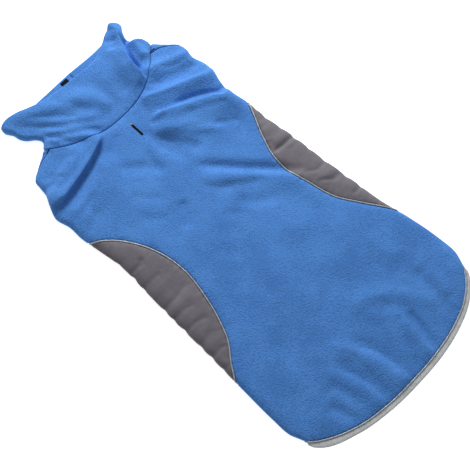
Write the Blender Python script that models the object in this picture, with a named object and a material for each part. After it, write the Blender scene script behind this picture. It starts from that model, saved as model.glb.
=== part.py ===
"""A dog's winter coat, laid flat on its belly side.

The cloth is drawn in one plan, in millimetres: p runs across from the middle line of the back and
q runs along it, with the collar at +q. Past the flank's edge, where |p| is more than the half
width, the cloth has turned under, so a piece is drawn unfolded about that edge. The belly and
chest pieces are drawn from below in the same way, u across and q along. lay() puts a point of the
plan where it lies.
"""

from collections import namedtuple

import bmesh
import bpy
import numpy as np
from mathutils import Vector
from mathutils.geometry import delaunay_2d_cdt

MM = 0.001

FLEECE = 4.0  # outer fleece and lining, worn as one cloth
SOFTSHELL = 3.0
SEAM_GAP = 0.3
PLAIN_SEAM = SEAM_GAP / 2  # each piece's edge from a plain seam's line
LEAST_TURN = 0.3  # radius left inside the turn
CROWN_SPAN = 70.0  # over which the top settles from the flank to the middle
FLANK_PIPING = 2.6  # across
PIPING_GAP = 0.6  # between a piped seam's cord and each of the two cloths it joins
PIPED_SEAM = FLANK_PIPING / 2 + PIPING_GAP  # each piece's edge from a piped seam's line
HEM_PIPING = 2.0
HEM_PIPING_SUNK = 1.4
PIPING_SUNK = 0.5  # its middle, under the cloth's face
HEM_BAND_THICK = 1.6
HEM_APART = 0.6  # between the hem, its piping and the band, where the hem bends
PIPING_SHORT = 7.0  # clear of the hems that it runs into
SLIT = (20.0, 1.4)
SLIT_AT = (3.0, 178.0)
SLIT_TRIM = (0.8, 0.6)  # width and height of its stitched rim
TAG = (12.0, 9.0, 0.6)
TAG_AT = (-12.5, 300.5)

# The flat garment's outline: the flanks' distance from the middle, from rump to collar tips.
Station = namedtuple("Station", "y left right")
STATIONS = (
    Station(-320, 158, 158),
    Station(-275, 157, 156),
    Station(-260, 154, 154.5),
    Station(-242, 159.5, 160.5),
    Station(-215, 160, 161),
    Station(-165, 158, 155.8),
    Station(-125, 156, 149),
    Station(-80, 154, 146),
    Station(-30, 152, 142),
    Station(20, 149, 140),
    Station(60, 147, 136),
    Station(95, 151, 135),
    Station(125, 155, 130),
    Station(145, 154.8, 132),
    Station(168, 158.8, 138),
    Station(186, 152, 138),
    Station(200, 145, 133.5),
    Station(215, 142.6, 136),
    Station(228, 139, 134.5),
    Station(238, 122, 125.5),
    Station(248, 105, 116),
    Station(258, 95, 109),
    Station(268, 99, 106),
    Station(276, 108, 99),
    Station(284, 113, 91),
    Station(294, 115, 93),
    Station(304, 120.5, 99.5),
    Station(316, 120, 98),
)

# How far in from the flank's edge the cloth begins to turn under, seen from above.
Turn = namedtuple("Turn", "y radius")
TURNS = (
    Turn(-320, 8.0),
    Turn(-262, 6.6),
    Turn(-228, 15.0),
    Turn(-198, 12.5),
    Turn(-150, 7.6),
    Turn(-105, 10.5),
    Turn(-60, 16.0),
    Turn(85, 16.0),
    Turn(125, 12.0),
    Turn(200, 9.0),
    Turn(238, 6.4),
    Turn(280, 7.0),
    Turn(320, 7.0),
)
TURN_SHAPE = 0.66  # the power that keeps the cloth's length even round the turn

# Heights of the top face: along the middle, and where the flank begins to turn under.
Rise = namedtuple("Rise", "y middle flank")
RISES = (
    Rise(-320, 4.8, 5.2),
    Rise(-300, 5.4, 6.0),
    Rise(-275, 6.6, 7.2),
    Rise(-258, 7.2, 9.6),
    Rise(-235, 7.6, 10.4),
    Rise(-180, 8.0, 10.6),
    Rise(-130, 10.4, 10.8),
    Rise(-60, 10.8, 10.8),
    Rise(165, 10.8, 10.8),
    Rise(198, 10.8, 10.8),
    Rise(225, 12.4, 10.8),
    Rise(255, 16.5, 12.0),
    Rise(300, 19.0, 13.0),
    Rise(320, 19.0, 13.0),
)
LOWEST_ON_BELLY = FLEECE + SOFTSHELL + 0.9
LOWEST_ON_FLOOR = 4.2
BELLY_REACH = (-165.0, -125.0)  # q over which the belly panel begins to carry the top

# The largest folds: crest from start by way to end, how far each side falls off, and height.
# left and right are the sides of someone who walks from start to end.
Fold = namedtuple("Fold", "start way end height left right")
FOLDS = (
    # left shoulder
    Fold((-31, 214), (-84, 192), (-176, 177), 11.5, 5.6, 22),
    Fold((-46, 203), (-80, 184), (-160, 170), -1.2, 7, 4),
    Fold((-62, 222), (-98, 208), (-134, 200), 3.4, 7, 8),
    Fold((-110, 208), (-128, 204), (-150, 206), -3.4, 6, 5),
    Fold((-46, 184), (-96, 163), (-168, 150), 4.0, 22, 13),
    # right shoulder
    Fold((26, 176), (80, 147), (166, 100), 9.0, 5.0, 24),
    Fold((34, 206), (78, 186), (154, 153), 7.5, 5.5, 15),
    Fold((56, 213), (98, 198), (148, 179), -2.4, 7, 6),
    Fold((60, 232), (104, 219), (152, 197), 4.4, 8, 12),
    # back
    Fold((6, 166), (44, 137), (86, 92), 3.4, 10, 8),
    Fold((2, 150), (28, 122), (46, 92), -3.0, 8, 9),
    Fold((18, 172), (45, 151), (78, 134), -1.2, 9, 10),
    Fold((24, 104), (64, 52), (118, -4), 1.4, 11, 9),
    Fold((16, 90), (62, 35), (120, -32), -3.2, 6.5, 5.5),
    Fold((6, 74), (53, 26), (112, -44), 3.2, 8, 17),
    Fold((8, 46), (38, 22), (76, -12), -1.3, 10, 11),
    Fold((16, 14), (38, -7), (66, -28), -2.0, 9, 9),
    Fold((10, 176), (13, 138), (20, 92), -2.6, 9, 9),
    Fold((-60, 158), (-33, 138), (-8, 110), -2.2, 8, 9),
    Fold((-28, 66), (-39, 48), (-54, 28), -2.0, 8, 8),
    # rump
    Fold((-50, -196), (-20, -256), (-21, -318), 3.0, 9, 13),
    Fold((-26, -214), (-4, -258), (-2, -314), -1.8, 8, 10),
    Fold((46, -222), (43, -266), (31, -316), 2.8, 6, 10),
    Fold((60, -244), (53, -274), (45, -308), -2.0, 5, 7),
    Fold((-76, -214), (-59, -262), (-54, -314), 2.0, 9, 11),
    Fold((-60, -222), (-44, -262), (-42, -314), -1.6, 7, 8),
    Fold((-84, -240), (-85, -268), (-87, -298), 1.6, 7, 9),
    Fold((0, -188), (58, -216), (92, -280), 2.2, 12, 18),
    Fold((20, -198), (50, -226), (72, -262), -1.4, 9, 10),
    Fold((-106, -250), (-94, -274), (-86, -298), -2.0, 8, 8),
    Fold((108, -216), (102, -240), (97, -264), -1.5, 10, 9),
    Fold((102, -256), (98, -276), (96, -298), -1.4, 8, 8),
    # collar
    Fold((-10, 252), (-56, 282), (-112, 312), 3.6, 10, 12),
    Fold((-14, 224), (-46, 250), (-98, 292), 2.8, 6, 9),
    Fold((-16, 212), (-54, 239), (-100, 274), 3.1, 5.0, 7),
    Fold((-36, 208), (-64, 231), (-100, 258), 2.9, 5.0, 6),
    Fold((-74, 227), (-91, 241), (-106, 258), 2.0, 4.5, 4.5),
    Fold((4, 222), (-6, 250), (-28, 282), 2.4, 10, 10),
    Fold((52, 216), (56, 236), (64, 262), 2.0, 12, 8),
    Fold((64, 212), (64.5, 267), (112, 318), 9.5, 22, 4.6),
    Fold((65, 234), (74, 262), (91, 286), -6.5, 4.0, 4.5),
    Fold((97, 292), (92, 268), (84, 240), 5.2, 9, 6.0),
    Fold((30, 222), (38, 250), (56, 290), -2.0, 12, 12),
    Fold((58, 284), (70, 300), (84, 322), -4.0, 6, 6),
)
FOLD_END = 0.22  # share of a fold's length over which it dies away at each end

# Seams and hems in the plan. Points past the flank's edge lie underneath.
FLANK_SEAMS = {
    "left": (
        (-196.5, 119), (-178, 118.5), (-164, 115.5), (-152, 110), (-130, 92), (-111, 63),
        (-99, 28), (-96, -4), (-103, -47), (-113, -80), (-126, -108), (-144, -130),
        (-157, -149), (-168, -162), (-183, -174),
    ),
    "right": (
        (166.5, 117), (155, 113.5), (145, 107.5), (135, 97), (121, 71), (107, 42),
        (98, 16), (97, -8), (103, -41), (111, -77), (131, -113), (145, -136),
        (155, -153), (166, -165), (181, -174),
    ),
}  # fmt: skip
SHOULDER_SEAMS = {
    "left": ((-96.5, 243), (-109, 240), (-124, 235.5), (-140, 227), (-160, 210), (-195.5, 185)),
    "right": ((96.5, 244), (108, 243), (119, 238), (130, 229), (146, 212), (170.5, 183)),
}
NECK_SEAM = (
    (-104, 249), (-96.5, 243), (-76, 228), (-50, 216), (-22, 208.5), (8, 206.5), (36, 209),
    (62, 218), (80, 230), (96.5, 244), (108.5, 256),
)  # fmt: skip
NECK_BELOW = ((108.5, 256), (97, 253), (56, 240), (0, 233), (-54, 239), (-93, 247), (-104, 249))
HEM = (
    (-183, -174), (-184, -190), (-181, -215), (-172, -239), (-162, -251.5), (-154, -260),
    (-142, -271), (-124, -282.5), (-93, -296), (-50, -305), (0, -308), (50, -306.5),
    (85, -301), (118, -290), (140, -275), (152.5, -261), (161, -251.5), (171, -239),
    (181, -215), (183, -190), (181, -174),
)  # fmt: skip
COLLAR_TOP = (
    (-120, 314), (-108, 316.8), (-92, 313.5), (-77, 306.5), (-60, 299.5), (-36, 294.8), (0, 292.4),
    (28, 291), (42, 293.5), (58, 302.5), (75, 313.5), (90, 318), (98, 312.5),
)  # fmt: skip
COLLAR_TOP_BELOW = (
    (98, 312.5), (78, 308.5), (52, 306.5), (0, 308.5), (-56, 308.5), (-90, 309.5), (-120, 314),
)  # fmt: skip
BELLY_HEM = ((133, -174), (84, -152), (36, -130), (0, -125), (-36, -130), (-84, -152), (-133, -174))

# Width of the band behind the hem piping, along the hem: it narrows where it turns under.
BandWidth = namedtuple("BandWidth", "p width")
BAND_WIDTHS = (
    BandWidth(-184, 4.0),
    BandWidth(-164, 2.0),
    BandWidth(-152, 3.0),
    BandWidth(-138, 6.6),
    BandWidth(-100, 5.8),
    BandWidth(70, 5.6),
    BandWidth(120, 4.2),
    BandWidth(140, 3.2),
    BandWidth(154, 1.8),
    BandWidth(184, 4.0),
)

# Leg openings, seen from below: middle, half sizes, and where the seams meet their edge.
LegOpening = namedtuple("LegOpening", "x y half_x half_y")
LEG_OPENINGS = {"left": LegOpening(-94, 152, 34, 40), "right": LegOpening(80, 150, 34, 40)}
LEG_SEAM_ANGLE = 55.0

FINE, COARSE = 8.5, 14.0  # mesh spacing in front of FINE_FROM, and behind it
FINE_FROM = 112.0
FLANK_COLUMNS = (-1.0, -0.6, -0.26, 0.0, 0.26, 0.6, 1.0)  # in radii either side of the edge
FLANK_ROW, FLANK_ROW_FINE = 11.0, 5.5
EDGE_CLEAR = 0.42  # of the spacing, between a piece's edge and the first points inside
COLUMN_CLEAR = 0.9  # between a piece's edge and the ends of its columns
SHARP = 6.6  # a ridge that falls within this is sharp, if it is at least this high:
SHARP_HEIGHT = 6.0
CREASE_STEP = 9.0
CREASE_FALLS = (-0.9, -0.1, 0.45, 0.95, 1.6)  # of its fall, towards the steep side
WELD = 0.05

Finish = namedtuple("Finish", "colour roughness")
FINISHES = {
    "blue_fleece": Finish((0.065, 0.205, 0.58), 0.95),
    "grey_softshell": Finish((0.13, 0.12, 0.14), 0.75),
    "reflective_piping": Finish((0.40, 0.43, 0.47), 0.45),
    "hem_tape": Finish((0.36, 0.39, 0.40), 0.60),
    "black_thread": Finish((0.012, 0.012, 0.014), 0.80),
}


def through(stations, values, at):
    """A smooth curve through the table's values, read at the places given."""
    stations, values = np.asarray(stations, float), np.asarray(values, float)
    slopes = np.gradient(values, stations)
    at = np.clip(at, stations[0], stations[-1])
    row = np.clip(np.searchsorted(stations, at) - 1, 0, len(stations) - 2)
    step = stations[row + 1] - stations[row]
    t = (at - stations[row]) / step
    return (
        values[row] * (1 + 2 * t) * (1 - t) ** 2
        + slopes[row] * step * t * (1 - t) ** 2
        + values[row + 1] * t * t * (3 - 2 * t)
        + slopes[row + 1] * step * t * t * (t - 1)
    )


def ease(t):
    t = np.clip(t, 0, 1)
    return t * t * (3 - 2 * t)


def half_width(side, q):
    """The flank's distance from the middle line: side is below 0 on the left."""
    ys = [row.y for row in STATIONS]
    left = through(ys, [row.left for row in STATIONS], q)
    right = through(ys, [row.right for row in STATIONS], q)
    return np.where(np.asarray(side) < 0, left, right)


def flank_radius(side, q):
    """The turn's radius across, wider where the edge runs aslant, so that it stays round."""
    slope = (half_width(side, q + 1.0) - half_width(side, q - 1.0)) / 2
    radius = through([row.y for row in TURNS], [row.radius for row in TURNS], q)
    return radius * np.sqrt(1 + slope * slope)


def spine(fold, count=15):
    """Points along a fold's crest, on a bow from start by way to end."""
    start, way, end = (np.array(point, float) for point in fold[:3])
    pull = 2 * way - (start + end) / 2
    t = np.linspace(0, 1, count)[:, None]
    return (1 - t) ** 2 * start + 2 * t * (1 - t) * pull + t * t * end


def beside(line, x, y):
    """Each point's signed distance from the line, above 0 to its left, and how far along it lies."""
    best = np.full(x.shape, np.inf)
    signed, along = np.zeros(x.shape), np.zeros(x.shape)
    for i, (a, b) in enumerate(zip(line[:-1], line[1:])):
        dx, dy = b - a
        t = np.clip(((x - a[0]) * dx + (y - a[1]) * dy) / (dx * dx + dy * dy), 0, 1)
        off_x, off_y = x - a[0] - t * dx, y - a[1] - t * dy
        distance = np.hypot(off_x, off_y)
        nearer = distance < best
        best = np.where(nearer, distance, best)
        signed = np.where(nearer, np.sign(dx * off_y - dy * off_x) * distance, signed)
        along = np.where(nearer, (i + t) / (len(line) - 1), along)
    return signed, along


def relief(x, y):
    """How far the folds lift the top face."""
    lift = np.zeros(x.shape)
    for fold in FOLDS:
        aside, along = beside(spine(fold), x, y)
        fall = np.where(aside > 0, fold.left, fold.right)
        ends = ease(along / FOLD_END) * ease((1 - along) / FOLD_END)
        lift += fold.height * np.exp(-((aside / fall) ** 2)) * ends
    return lift


def top_height(x, y):
    """Height of the outer face where the cloth lies on top."""
    ys = [row.y for row in RISES]
    middle = through(ys, [row.middle for row in RISES], y)
    flank = through(ys, [row.flank for row in RISES], y)
    inside = half_width(x, y) - flank_radius(x, y) - np.abs(x)
    height = flank + (middle - flank) * ease(inside / CROWN_SPAN) + relief(x, y)
    carried = ease((y - BELLY_REACH[0]) / (BELLY_REACH[1] - BELLY_REACH[0]))
    least = LOWEST_ON_FLOOR + (LOWEST_ON_BELLY - LOWEST_ON_FLOOR) * carried
    over = height - least
    return least + (over + np.sqrt(over * over + 0.5)) / 2


def lay(p, q, depth=0.0):
    """Where the cloth lies: flat on top, round the flank, and on the floor below.

    depth is how far inside the cloth's face. It is taken straight down on top, so that the inner
    face never crosses itself under a sharp fold, and pieces that meet at a seam stay apart.
    """
    p, q = np.asarray(p, float), np.asarray(q, float)
    side = np.where(p < 0, -1.0, 1.0)
    edge = half_width(p, q)
    past = np.abs(p) - edge
    radius = flank_radius(p, q)
    begin = edge - radius
    top = top_height(side * np.minimum(np.abs(p), begin), q)
    share = np.clip(past / radius, -1, 1)
    angle = np.pi / 2 * np.sign(share) * np.abs(share) ** TURN_SHAPE
    reach = np.maximum(radius - depth, LEAST_TURN)
    rise = np.maximum(top / 2 - depth, LEAST_TURN)
    across = np.where(past < -radius, np.abs(p), begin + reach * np.cos(angle))
    across = np.where(past > radius, edge - past, across)
    height = top / 2 - rise * np.sin(angle)
    height = np.where(past < -radius, top - depth, height)
    height = np.where(past > radius, depth, height)
    return np.stack([side * across, q, height], axis=-1)


def turned(points):
    """Plan points from above as seen from below, or back again."""
    points = np.asarray(points, float)
    across = 2 * half_width(points[:, 0], points[:, 1]) - np.abs(points[:, 0])
    return np.stack([np.sign(points[:, 0]) * across, points[:, 1]], axis=1)


def traced(points, spacing):
    """Points along a smooth curve through those given, closer where the flank turns."""
    points = np.asarray(points, float)
    run = np.concatenate([[0], np.cumsum(np.linalg.norm(np.diff(points, axis=0), axis=1))])
    fine = np.linspace(0, run[-1], int(run[-1] * 4) + 2)
    curve = np.stack([through(run, points[:, 0], fine), through(run, points[:, 1], fine)], axis=1)
    past = np.abs(curve[:, 0]) - half_width(curve[:, 0], curve[:, 1])
    radii = past / flank_radius(curve[:, 0], curve[:, 1])
    cost = np.linalg.norm(np.diff(curve, axis=0), axis=1) / spacing
    turn = np.abs(np.diff(np.clip(radii, -1, 1))) * 3
    length = np.concatenate([[0], np.cumsum(np.maximum(cost, turn))])
    wanted = np.linspace(0, length[-1], max(2, int(np.ceil(length[-1])) + 1))
    return np.stack([np.interp(wanted, length, curve[:, i]) for i in (0, 1)], axis=1)


def leg_arc(side, first, last, spacing):
    """Part of a leg opening's edge, from below: 0 degrees is its outer side and 90 its front."""
    hole = LEG_OPENINGS[side]
    out = -1 if side == "left" else 1
    count = max(3, int(abs(last - first) / 360 * 2 * np.pi * hole.half_y / spacing))
    angle = np.radians(np.linspace(first, last, count))
    x = hole.x + out * hole.half_x * np.cos(angle)
    return np.stack([x, hole.y + hole.half_y * np.sin(angle)], axis=1)


def loop(*edges):
    """One closed outline from edges given as (points, inset), each set back from its seam."""
    points, insets = [], []
    for line, inset in edges:
        points.extend(line[:-1])
        insets.extend([inset] * (len(line) - 1))
    points, insets = np.array(points), np.array(insets)
    ahead = np.roll(points, -1, axis=0) - points
    area = (points[:, 0] * np.roll(points[:, 1], -1) - points[:, 1] * np.roll(points[:, 0], -1)).sum()
    normal = np.stack([-ahead[:, 1], ahead[:, 0]], axis=1) * np.sign(area)
    normal /= np.linalg.norm(normal, axis=1, keepdims=True)
    moved = []
    for i, point in enumerate(points):
        before, after = normal[i - 1], normal[i]
        corner = before[0] * after[1] - before[1] * after[0]
        if abs(corner) < 0.2:
            mean = (before + after) / np.linalg.norm(before + after)
            moved.append(point + mean * (insets[i - 1] + insets[i]) / 2)
        else:
            shift = np.linalg.solve([before, after], [insets[i - 1], insets[i]])
            moved.append(point + shift)
    return np.array(moved)


def inside_of(points, outline):
    """Which points lie inside the outline, and how far each is from it."""
    x, y = points[:, 0], points[:, 1]
    inside = np.zeros(len(points), bool)
    nearest = np.full(len(points), np.inf)
    for (ax, ay), (bx, by) in zip(outline, np.roll(outline, -1, axis=0)):
        crosses = (ay > y) != (by > y)
        with np.errstate(divide="ignore", invalid="ignore"):
            inside ^= crosses & (x < (bx - ax) * (y - ay) / (by - ay) + ax)
        dx, dy = bx - ax, by - ay
        t = np.clip(((x - ax) * dx + (y - ay) * dy) / (dx * dx + dy * dy), 0, 1)
        nearest = np.minimum(nearest, np.hypot(x - ax - t * dx, y - ay - t * dy))
    return inside, nearest


def clear_inside(points, outline, holes, margin):
    """Which points lie inside the outline, this far from it and from its holes."""
    inside, nearest = inside_of(points, outline)
    for hole in holes:
        within, near = inside_of(points, hole)
        inside &= ~within
        nearest = np.minimum(nearest, near)
    return inside & (nearest > margin)


def stepped(line, spacing):
    """Points at even steps along a line."""
    run = np.concatenate([[0], np.cumsum(np.linalg.norm(np.diff(line, axis=0), axis=1))])
    wanted = np.linspace(0, run[-1], int(run[-1] / spacing) + 1)
    return np.stack([np.interp(wanted, run, line[:, i]) for i in (0, 1)], axis=1)


def flank_columns(start, end):
    """Lines of points that follow both flanks' edges round their turn."""
    rows, q = [], start
    while q < end:
        rows.append(q)
        q += FLANK_ROW_FINE if q > FINE_FROM else FLANK_ROW
    rows = np.array(rows)
    columns = []
    for side in (-1.0, 1.0):
        edge, radius = half_width(side, rows), flank_radius(side, rows)
        columns.extend(np.stack([side * (edge + radius * share), rows], axis=1) for share in FLANK_COLUMNS)
    return columns


def crease_columns():
    """Lines of points that follow each sharp fold, close together on its steep side."""
    columns = []
    for fold in FOLDS:
        fall = min(fold.left, fold.right)
        if fall < SHARP and fold.height >= SHARP_HEIGHT:
            line = stepped(spine(fold), CREASE_STEP)
            steep = -1 if fold.left < fold.right else 1
            for share in CREASE_FALLS:
                column = beyond(line, steep * fall * share)
                turn = half_width(column[:, 0], column[:, 1]) - flank_radius(column[:, 0], column[:, 1])
                columns.append(column[np.abs(column[:, 0]) < turn - 2.0])
    return columns


def lattice(outline, holes, scale, creased):
    """Points to fill an outline, and the pairs that an edge must join along the turns and folds."""
    low, high = outline.min(axis=0), outline.max(axis=0)
    reach = float(max(abs(low[0]), abs(high[0])))
    points, q, odd = [], low[1], False
    while q < high[1]:
        spacing = scale * (FINE if q > FINE_FROM else COARSE)
        row = np.arange(-reach - spacing, reach + spacing, spacing) + (spacing / 2 if odd else 0)
        places = np.full(row.shape, q)
        past = np.abs(row) - half_width(row, places)
        row = row[np.abs(past) > flank_radius(row, places) + 0.3 * spacing]
        points.extend((p, q) for p in row)
        q += spacing * 0.87
        odd = not odd
    points = np.array(points)
    points = points[clear_inside(points, outline, holes, EDGE_CLEAR * scale * FINE)]
    columns = crease_columns() if creased else []
    if creased:
        apart = np.linalg.norm(points[:, None] - np.concatenate(columns)[None], axis=2).min(axis=1)
        points = points[apart > EDGE_CLEAR * FINE]
    pairs = []
    for column in columns + flank_columns(low[1], high[1]):
        if len(column) < 2:
            continue
        kept = clear_inside(column, outline, holes, COLUMN_CLEAR)
        between = clear_inside((column[1:] + column[:-1]) / 2, outline, holes, COLUMN_CLEAR / 2)
        place = len(points) - 1 + np.cumsum(kept)
        joined = np.nonzero(kept[1:] & kept[:-1] & between)[0]
        pairs.extend((place[i], place[i + 1]) for i in joined)
        points = np.concatenate([points, column[kept]])
    return points, pairs


def meshed(outline, holes, points, pairs):
    """Triangles between the outline, its holes and the points inside: (plan points, faces)."""
    rings, first = [], 0
    for ring in (outline, *holes):
        rings.append(list(range(first, first + len(ring))))
        first += len(ring)
    flat = [Vector(point) for point in np.concatenate([outline, *holes, points])]
    edges = [(int(a) + first, int(b) + first) for a, b in pairs]
    found = delaunay_2d_cdt(flat, edges, rings, 2 if holes else 1, 1e-5)
    return np.array([tuple(point) for point in found[0]]), [tuple(face) for face in found[2]]


def material(name):
    finish = FINISHES[name]
    made = bpy.data.materials.get(name) or bpy.data.materials.new(name)
    made.use_nodes = True
    shader = made.node_tree.nodes["Principled BSDF"]
    shader.inputs["Base Color"].default_value = (*finish.colour, 1.0)
    shader.inputs["Roughness"].default_value = finish.roughness
    return made


def into_collection(piece, name, finish):
    piece.name = name
    piece.data.materials.append(material(finish))
    bpy.data.collections["dog_winter_coat"].objects.link(piece)
    return piece


def sheet(name, finish, outline, thickness, holes=(), below=False, scale=1.0, sunk=0.0, fill=True):
    """A piece cut to the outline and laid, with its wall inside the outer face."""
    points, pairs = lattice(outline, holes, scale, creased=not below) if fill else (np.empty((0, 2)), [])
    plan, faces = meshed(outline, holes, points, pairs)
    if below:
        plan = turned(plan)
    outer = lay(plan[:, 0], plan[:, 1], sunk) * MM
    inner = lay(plan[:, 0], plan[:, 1], sunk + thickness) * MM
    mesh = bpy.data.meshes.new(name)
    mesh.from_pydata([tuple(point) for point in outer], [], faces)
    work = bmesh.new()
    work.from_mesh(mesh)
    across = work.verts.layers.float_vector.new("inner_face")
    for vertex, point in zip(work.verts, inner):
        vertex[across] = Vector(point)
    bmesh.ops.remove_doubles(work, verts=work.verts, dist=WELD * MM)
    skin = bmesh.ops.extrude_face_region(work, geom=work.faces[:], use_keep_orig=True)["geom"]
    for vertex in skin:
        if isinstance(vertex, bmesh.types.BMVert):
            vertex.co = vertex[across]
    bmesh.ops.recalc_face_normals(work, faces=work.faces)
    work.to_mesh(mesh)
    work.free()
    mesh.shade_smooth()
    mesh.set_sharp_from_angle(angle=np.radians(50))
    return into_collection(bpy.data.objects.new(name, mesh), name, finish)


def cord(name, finish, line, diameter, sunk):
    """A tube along a line of the plan, its middle sunk under the cloth's face."""
    past = np.abs(line[:, 0]) - half_width(line[:, 0], line[:, 1])
    share = past / flank_radius(line[:, 0], line[:, 1])
    depth = sunk + max(0.0, diameter / 2 + 0.1 - sunk) * ease(share)
    middle = lay(line[:, 0], line[:, 1], depth)
    data = bpy.data.curves.new(name, "CURVE")
    data.dimensions = "3D"
    data.bevel_depth = diameter / 2 * MM
    data.bevel_resolution = 1
    data.use_fill_caps = True
    path = data.splines.new("POLY")
    path.points.add(len(middle) - 1)
    for point, place in zip(path.points, middle):
        point.co = (*(place * MM), 1.0)
    return into_collection(bpy.data.objects.new(name, data), name, finish)


def beyond(line, distance):
    """The line moved to its right, in the plan."""
    ahead = np.gradient(line, axis=0)
    right = np.stack([ahead[:, 1], -ahead[:, 0]], axis=1)
    return line + distance * right / np.linalg.norm(right, axis=1, keepdims=True)


def shortened(line, by):
    """The line with this much taken off each end."""
    line = line.copy()
    for end, inner in ((0, 1), (-1, -2)):
        along = line[inner] - line[end]
        line[end] += along * by / np.linalg.norm(along)
    return line


def slot(length, width, at, count=7):
    """A long hole's outline, with round ends."""
    angle = np.linspace(-np.pi / 2, np.pi / 2, count)
    end = np.stack([np.cos(angle), np.sin(angle)], axis=1) * width / 2
    upper = np.stack([-end[:, 1], end[:, 0] + (length - width) / 2], axis=1)
    return np.concatenate([upper, -upper]) + np.array(at)


def seams():
    """Every seam and hem, traced once, so that the pieces on both sides share it."""
    lines = {}
    for side in ("left", "right"):
        lines["flank", side] = traced(FLANK_SEAMS[side], 11.0)
        lines["shoulder", side] = traced(SHOULDER_SEAMS[side], 8.0)
    lines["neck"] = traced(NECK_SEAM, 8.0)
    lines["neck below"] = traced(NECK_BELOW, 10.0)
    lines["hem"] = traced(HEM, 11.0)
    return lines


def shoulder_ends(neck):
    """Where the neck seam meets the left and the right shoulder seam: places in its points."""
    starts = [SHOULDER_SEAMS[side][0] for side in ("left", "right")]
    return [int(np.argmin(np.linalg.norm(neck - np.array(start), axis=1))) for start in starts]


def back_panel(lines):
    neck = lines["neck"]
    left, right = shoulder_ends(neck)
    outline = loop(
        (lines["hem"], 0.0),
        (lines["flank", "right"][::-1], PIPED_SEAM),
        (turned(leg_arc("right", -LEG_SEAM_ANGLE, LEG_SEAM_ANGLE, 9.0)), 0.0),
        (lines["shoulder", "right"][::-1], PLAIN_SEAM),
        (neck[left : right + 1][::-1], PLAIN_SEAM),
        (lines["shoulder", "left"], PLAIN_SEAM),
        (turned(leg_arc("left", LEG_SEAM_ANGLE, -LEG_SEAM_ANGLE, 9.0)), 0.0),
        (lines["flank", "left"], PIPED_SEAM),
    )
    return sheet("back_panel", "blue_fleece", outline, FLEECE, holes=[slot(*SLIT, SLIT_AT)])


def belly_panel(lines):
    outline = loop(
        (turned(lines["flank", "right"]), PIPED_SEAM),
        (traced(BELLY_HEM, 14.0), 0.0),
        (turned(lines["flank", "left"])[::-1], PIPED_SEAM),
        (leg_arc("left", -LEG_SEAM_ANGLE, -180, 10.0), 0.0),
        (bridge_seam(), PLAIN_SEAM),
        (leg_arc("right", -180, -LEG_SEAM_ANGLE, 10.0), 0.0),
    )
    return sheet("belly_panel", "grey_softshell", outline, SOFTSHELL, below=True, scale=1.3)


def bridge_seam():
    """The seam between the leg openings, from left to right, seen from below."""
    left, right = leg_arc("left", -180, -180, 1.0)[0], leg_arc("right", -180, -180, 1.0)[0]
    return left + (right - left) * np.linspace(0, 1, 10)[:, None]


def chest_panel(lines):
    neck = lines["neck"]
    left, right = shoulder_ends(neck)
    outline = loop(
        (leg_arc("left", LEG_SEAM_ANGLE, 180, 10.0), 0.0),
        (bridge_seam(), PLAIN_SEAM),
        (leg_arc("right", 180, LEG_SEAM_ANGLE, 10.0), 0.0),
        (turned(lines["shoulder", "right"])[::-1], PLAIN_SEAM),
        (turned(neck[right:]), PLAIN_SEAM),
        (lines["neck below"], PLAIN_SEAM),
        (turned(neck[: left + 1]), PLAIN_SEAM),
        (turned(lines["shoulder", "left"]), PLAIN_SEAM),
    )
    return sheet("chest_panel", "blue_fleece", outline, FLEECE, below=True, scale=1.5)


def halved(line):
    """A line below, cut at the middle line into its right and left half, in the plan."""
    middle = int(np.argmin(np.abs(line[:, 0])))
    line[middle, 0] = 0.0
    right, left = turned(line[: middle + 1]), turned(line[middle:])
    right[-1, 0] = 2 * half_width(1, line[middle, 1])
    left[0, 0] = -2 * half_width(-1, line[middle, 1])
    return right, left


def collar(lines):
    """One strip sewn into a tube: its ends meet under the middle, where they are welded."""
    right_low, left_low = halved(lines["neck below"])
    right_high, left_high = halved(traced(COLLAR_TOP_BELOW, 9.0))
    rise = np.linspace(right_low[-1, 1], right_high[-1, 1], 10)
    right_end, left_end = (
        np.stack([side * 2 * half_width(side, rise), rise], axis=1) for side in (1, -1)
    )
    outline = loop(
        (left_low, PLAIN_SEAM),
        (lines["neck"], PLAIN_SEAM),
        (right_low, PLAIN_SEAM),
        (right_end, 0.0),
        (right_high[::-1], 0.0),
        (traced(COLLAR_TOP, 8.0)[::-1], 0.0),
        (left_high[::-1], 0.0),
        (left_end[::-1], 0.0),
    )
    return sheet("collar", "blue_fleece", outline, FLEECE, scale=0.95)


def flank_piping(side, lines):
    line = shortened(lines["flank", side], PIPING_SHORT)
    return cord(f"flank_piping_{side}", "reflective_piping", line, FLANK_PIPING, PIPING_SUNK)


def hem_trim(lines):
    """Piping along the hem, and the band that shows behind it."""
    line = lines["hem"]
    piping = beyond(line, HEM_APART + HEM_PIPING / 2)[1:-1]
    cord("hem_piping", "reflective_piping", piping, HEM_PIPING, HEM_PIPING_SUNK)
    width = through([row.p for row in BAND_WIDTHS], [row.width for row in BAND_WIDTHS], line[:, 0])
    starts = 2 * HEM_APART + HEM_PIPING
    inner, outer = beyond(line, starts)[1:-1], beyond(line, (starts + width)[:, None])[1:-1]
    outline = np.concatenate([inner, outer[::-1]])
    sheet("hem_band", "hem_tape", outline, HEM_BAND_THICK, sunk=FLEECE - HEM_BAND_THICK, fill=False)


def slit_trim():
    width, height = SLIT_TRIM
    rim = slot(SLIT[0] + 2 * width, SLIT[1] + 2 * width, SLIT_AT)
    hole = slot(*SLIT, SLIT_AT)
    sunk = -(height + SEAM_GAP)
    return sheet("leash_slit_trim", "black_thread", rim, height, [hole], sunk=sunk, fill=False)


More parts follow.
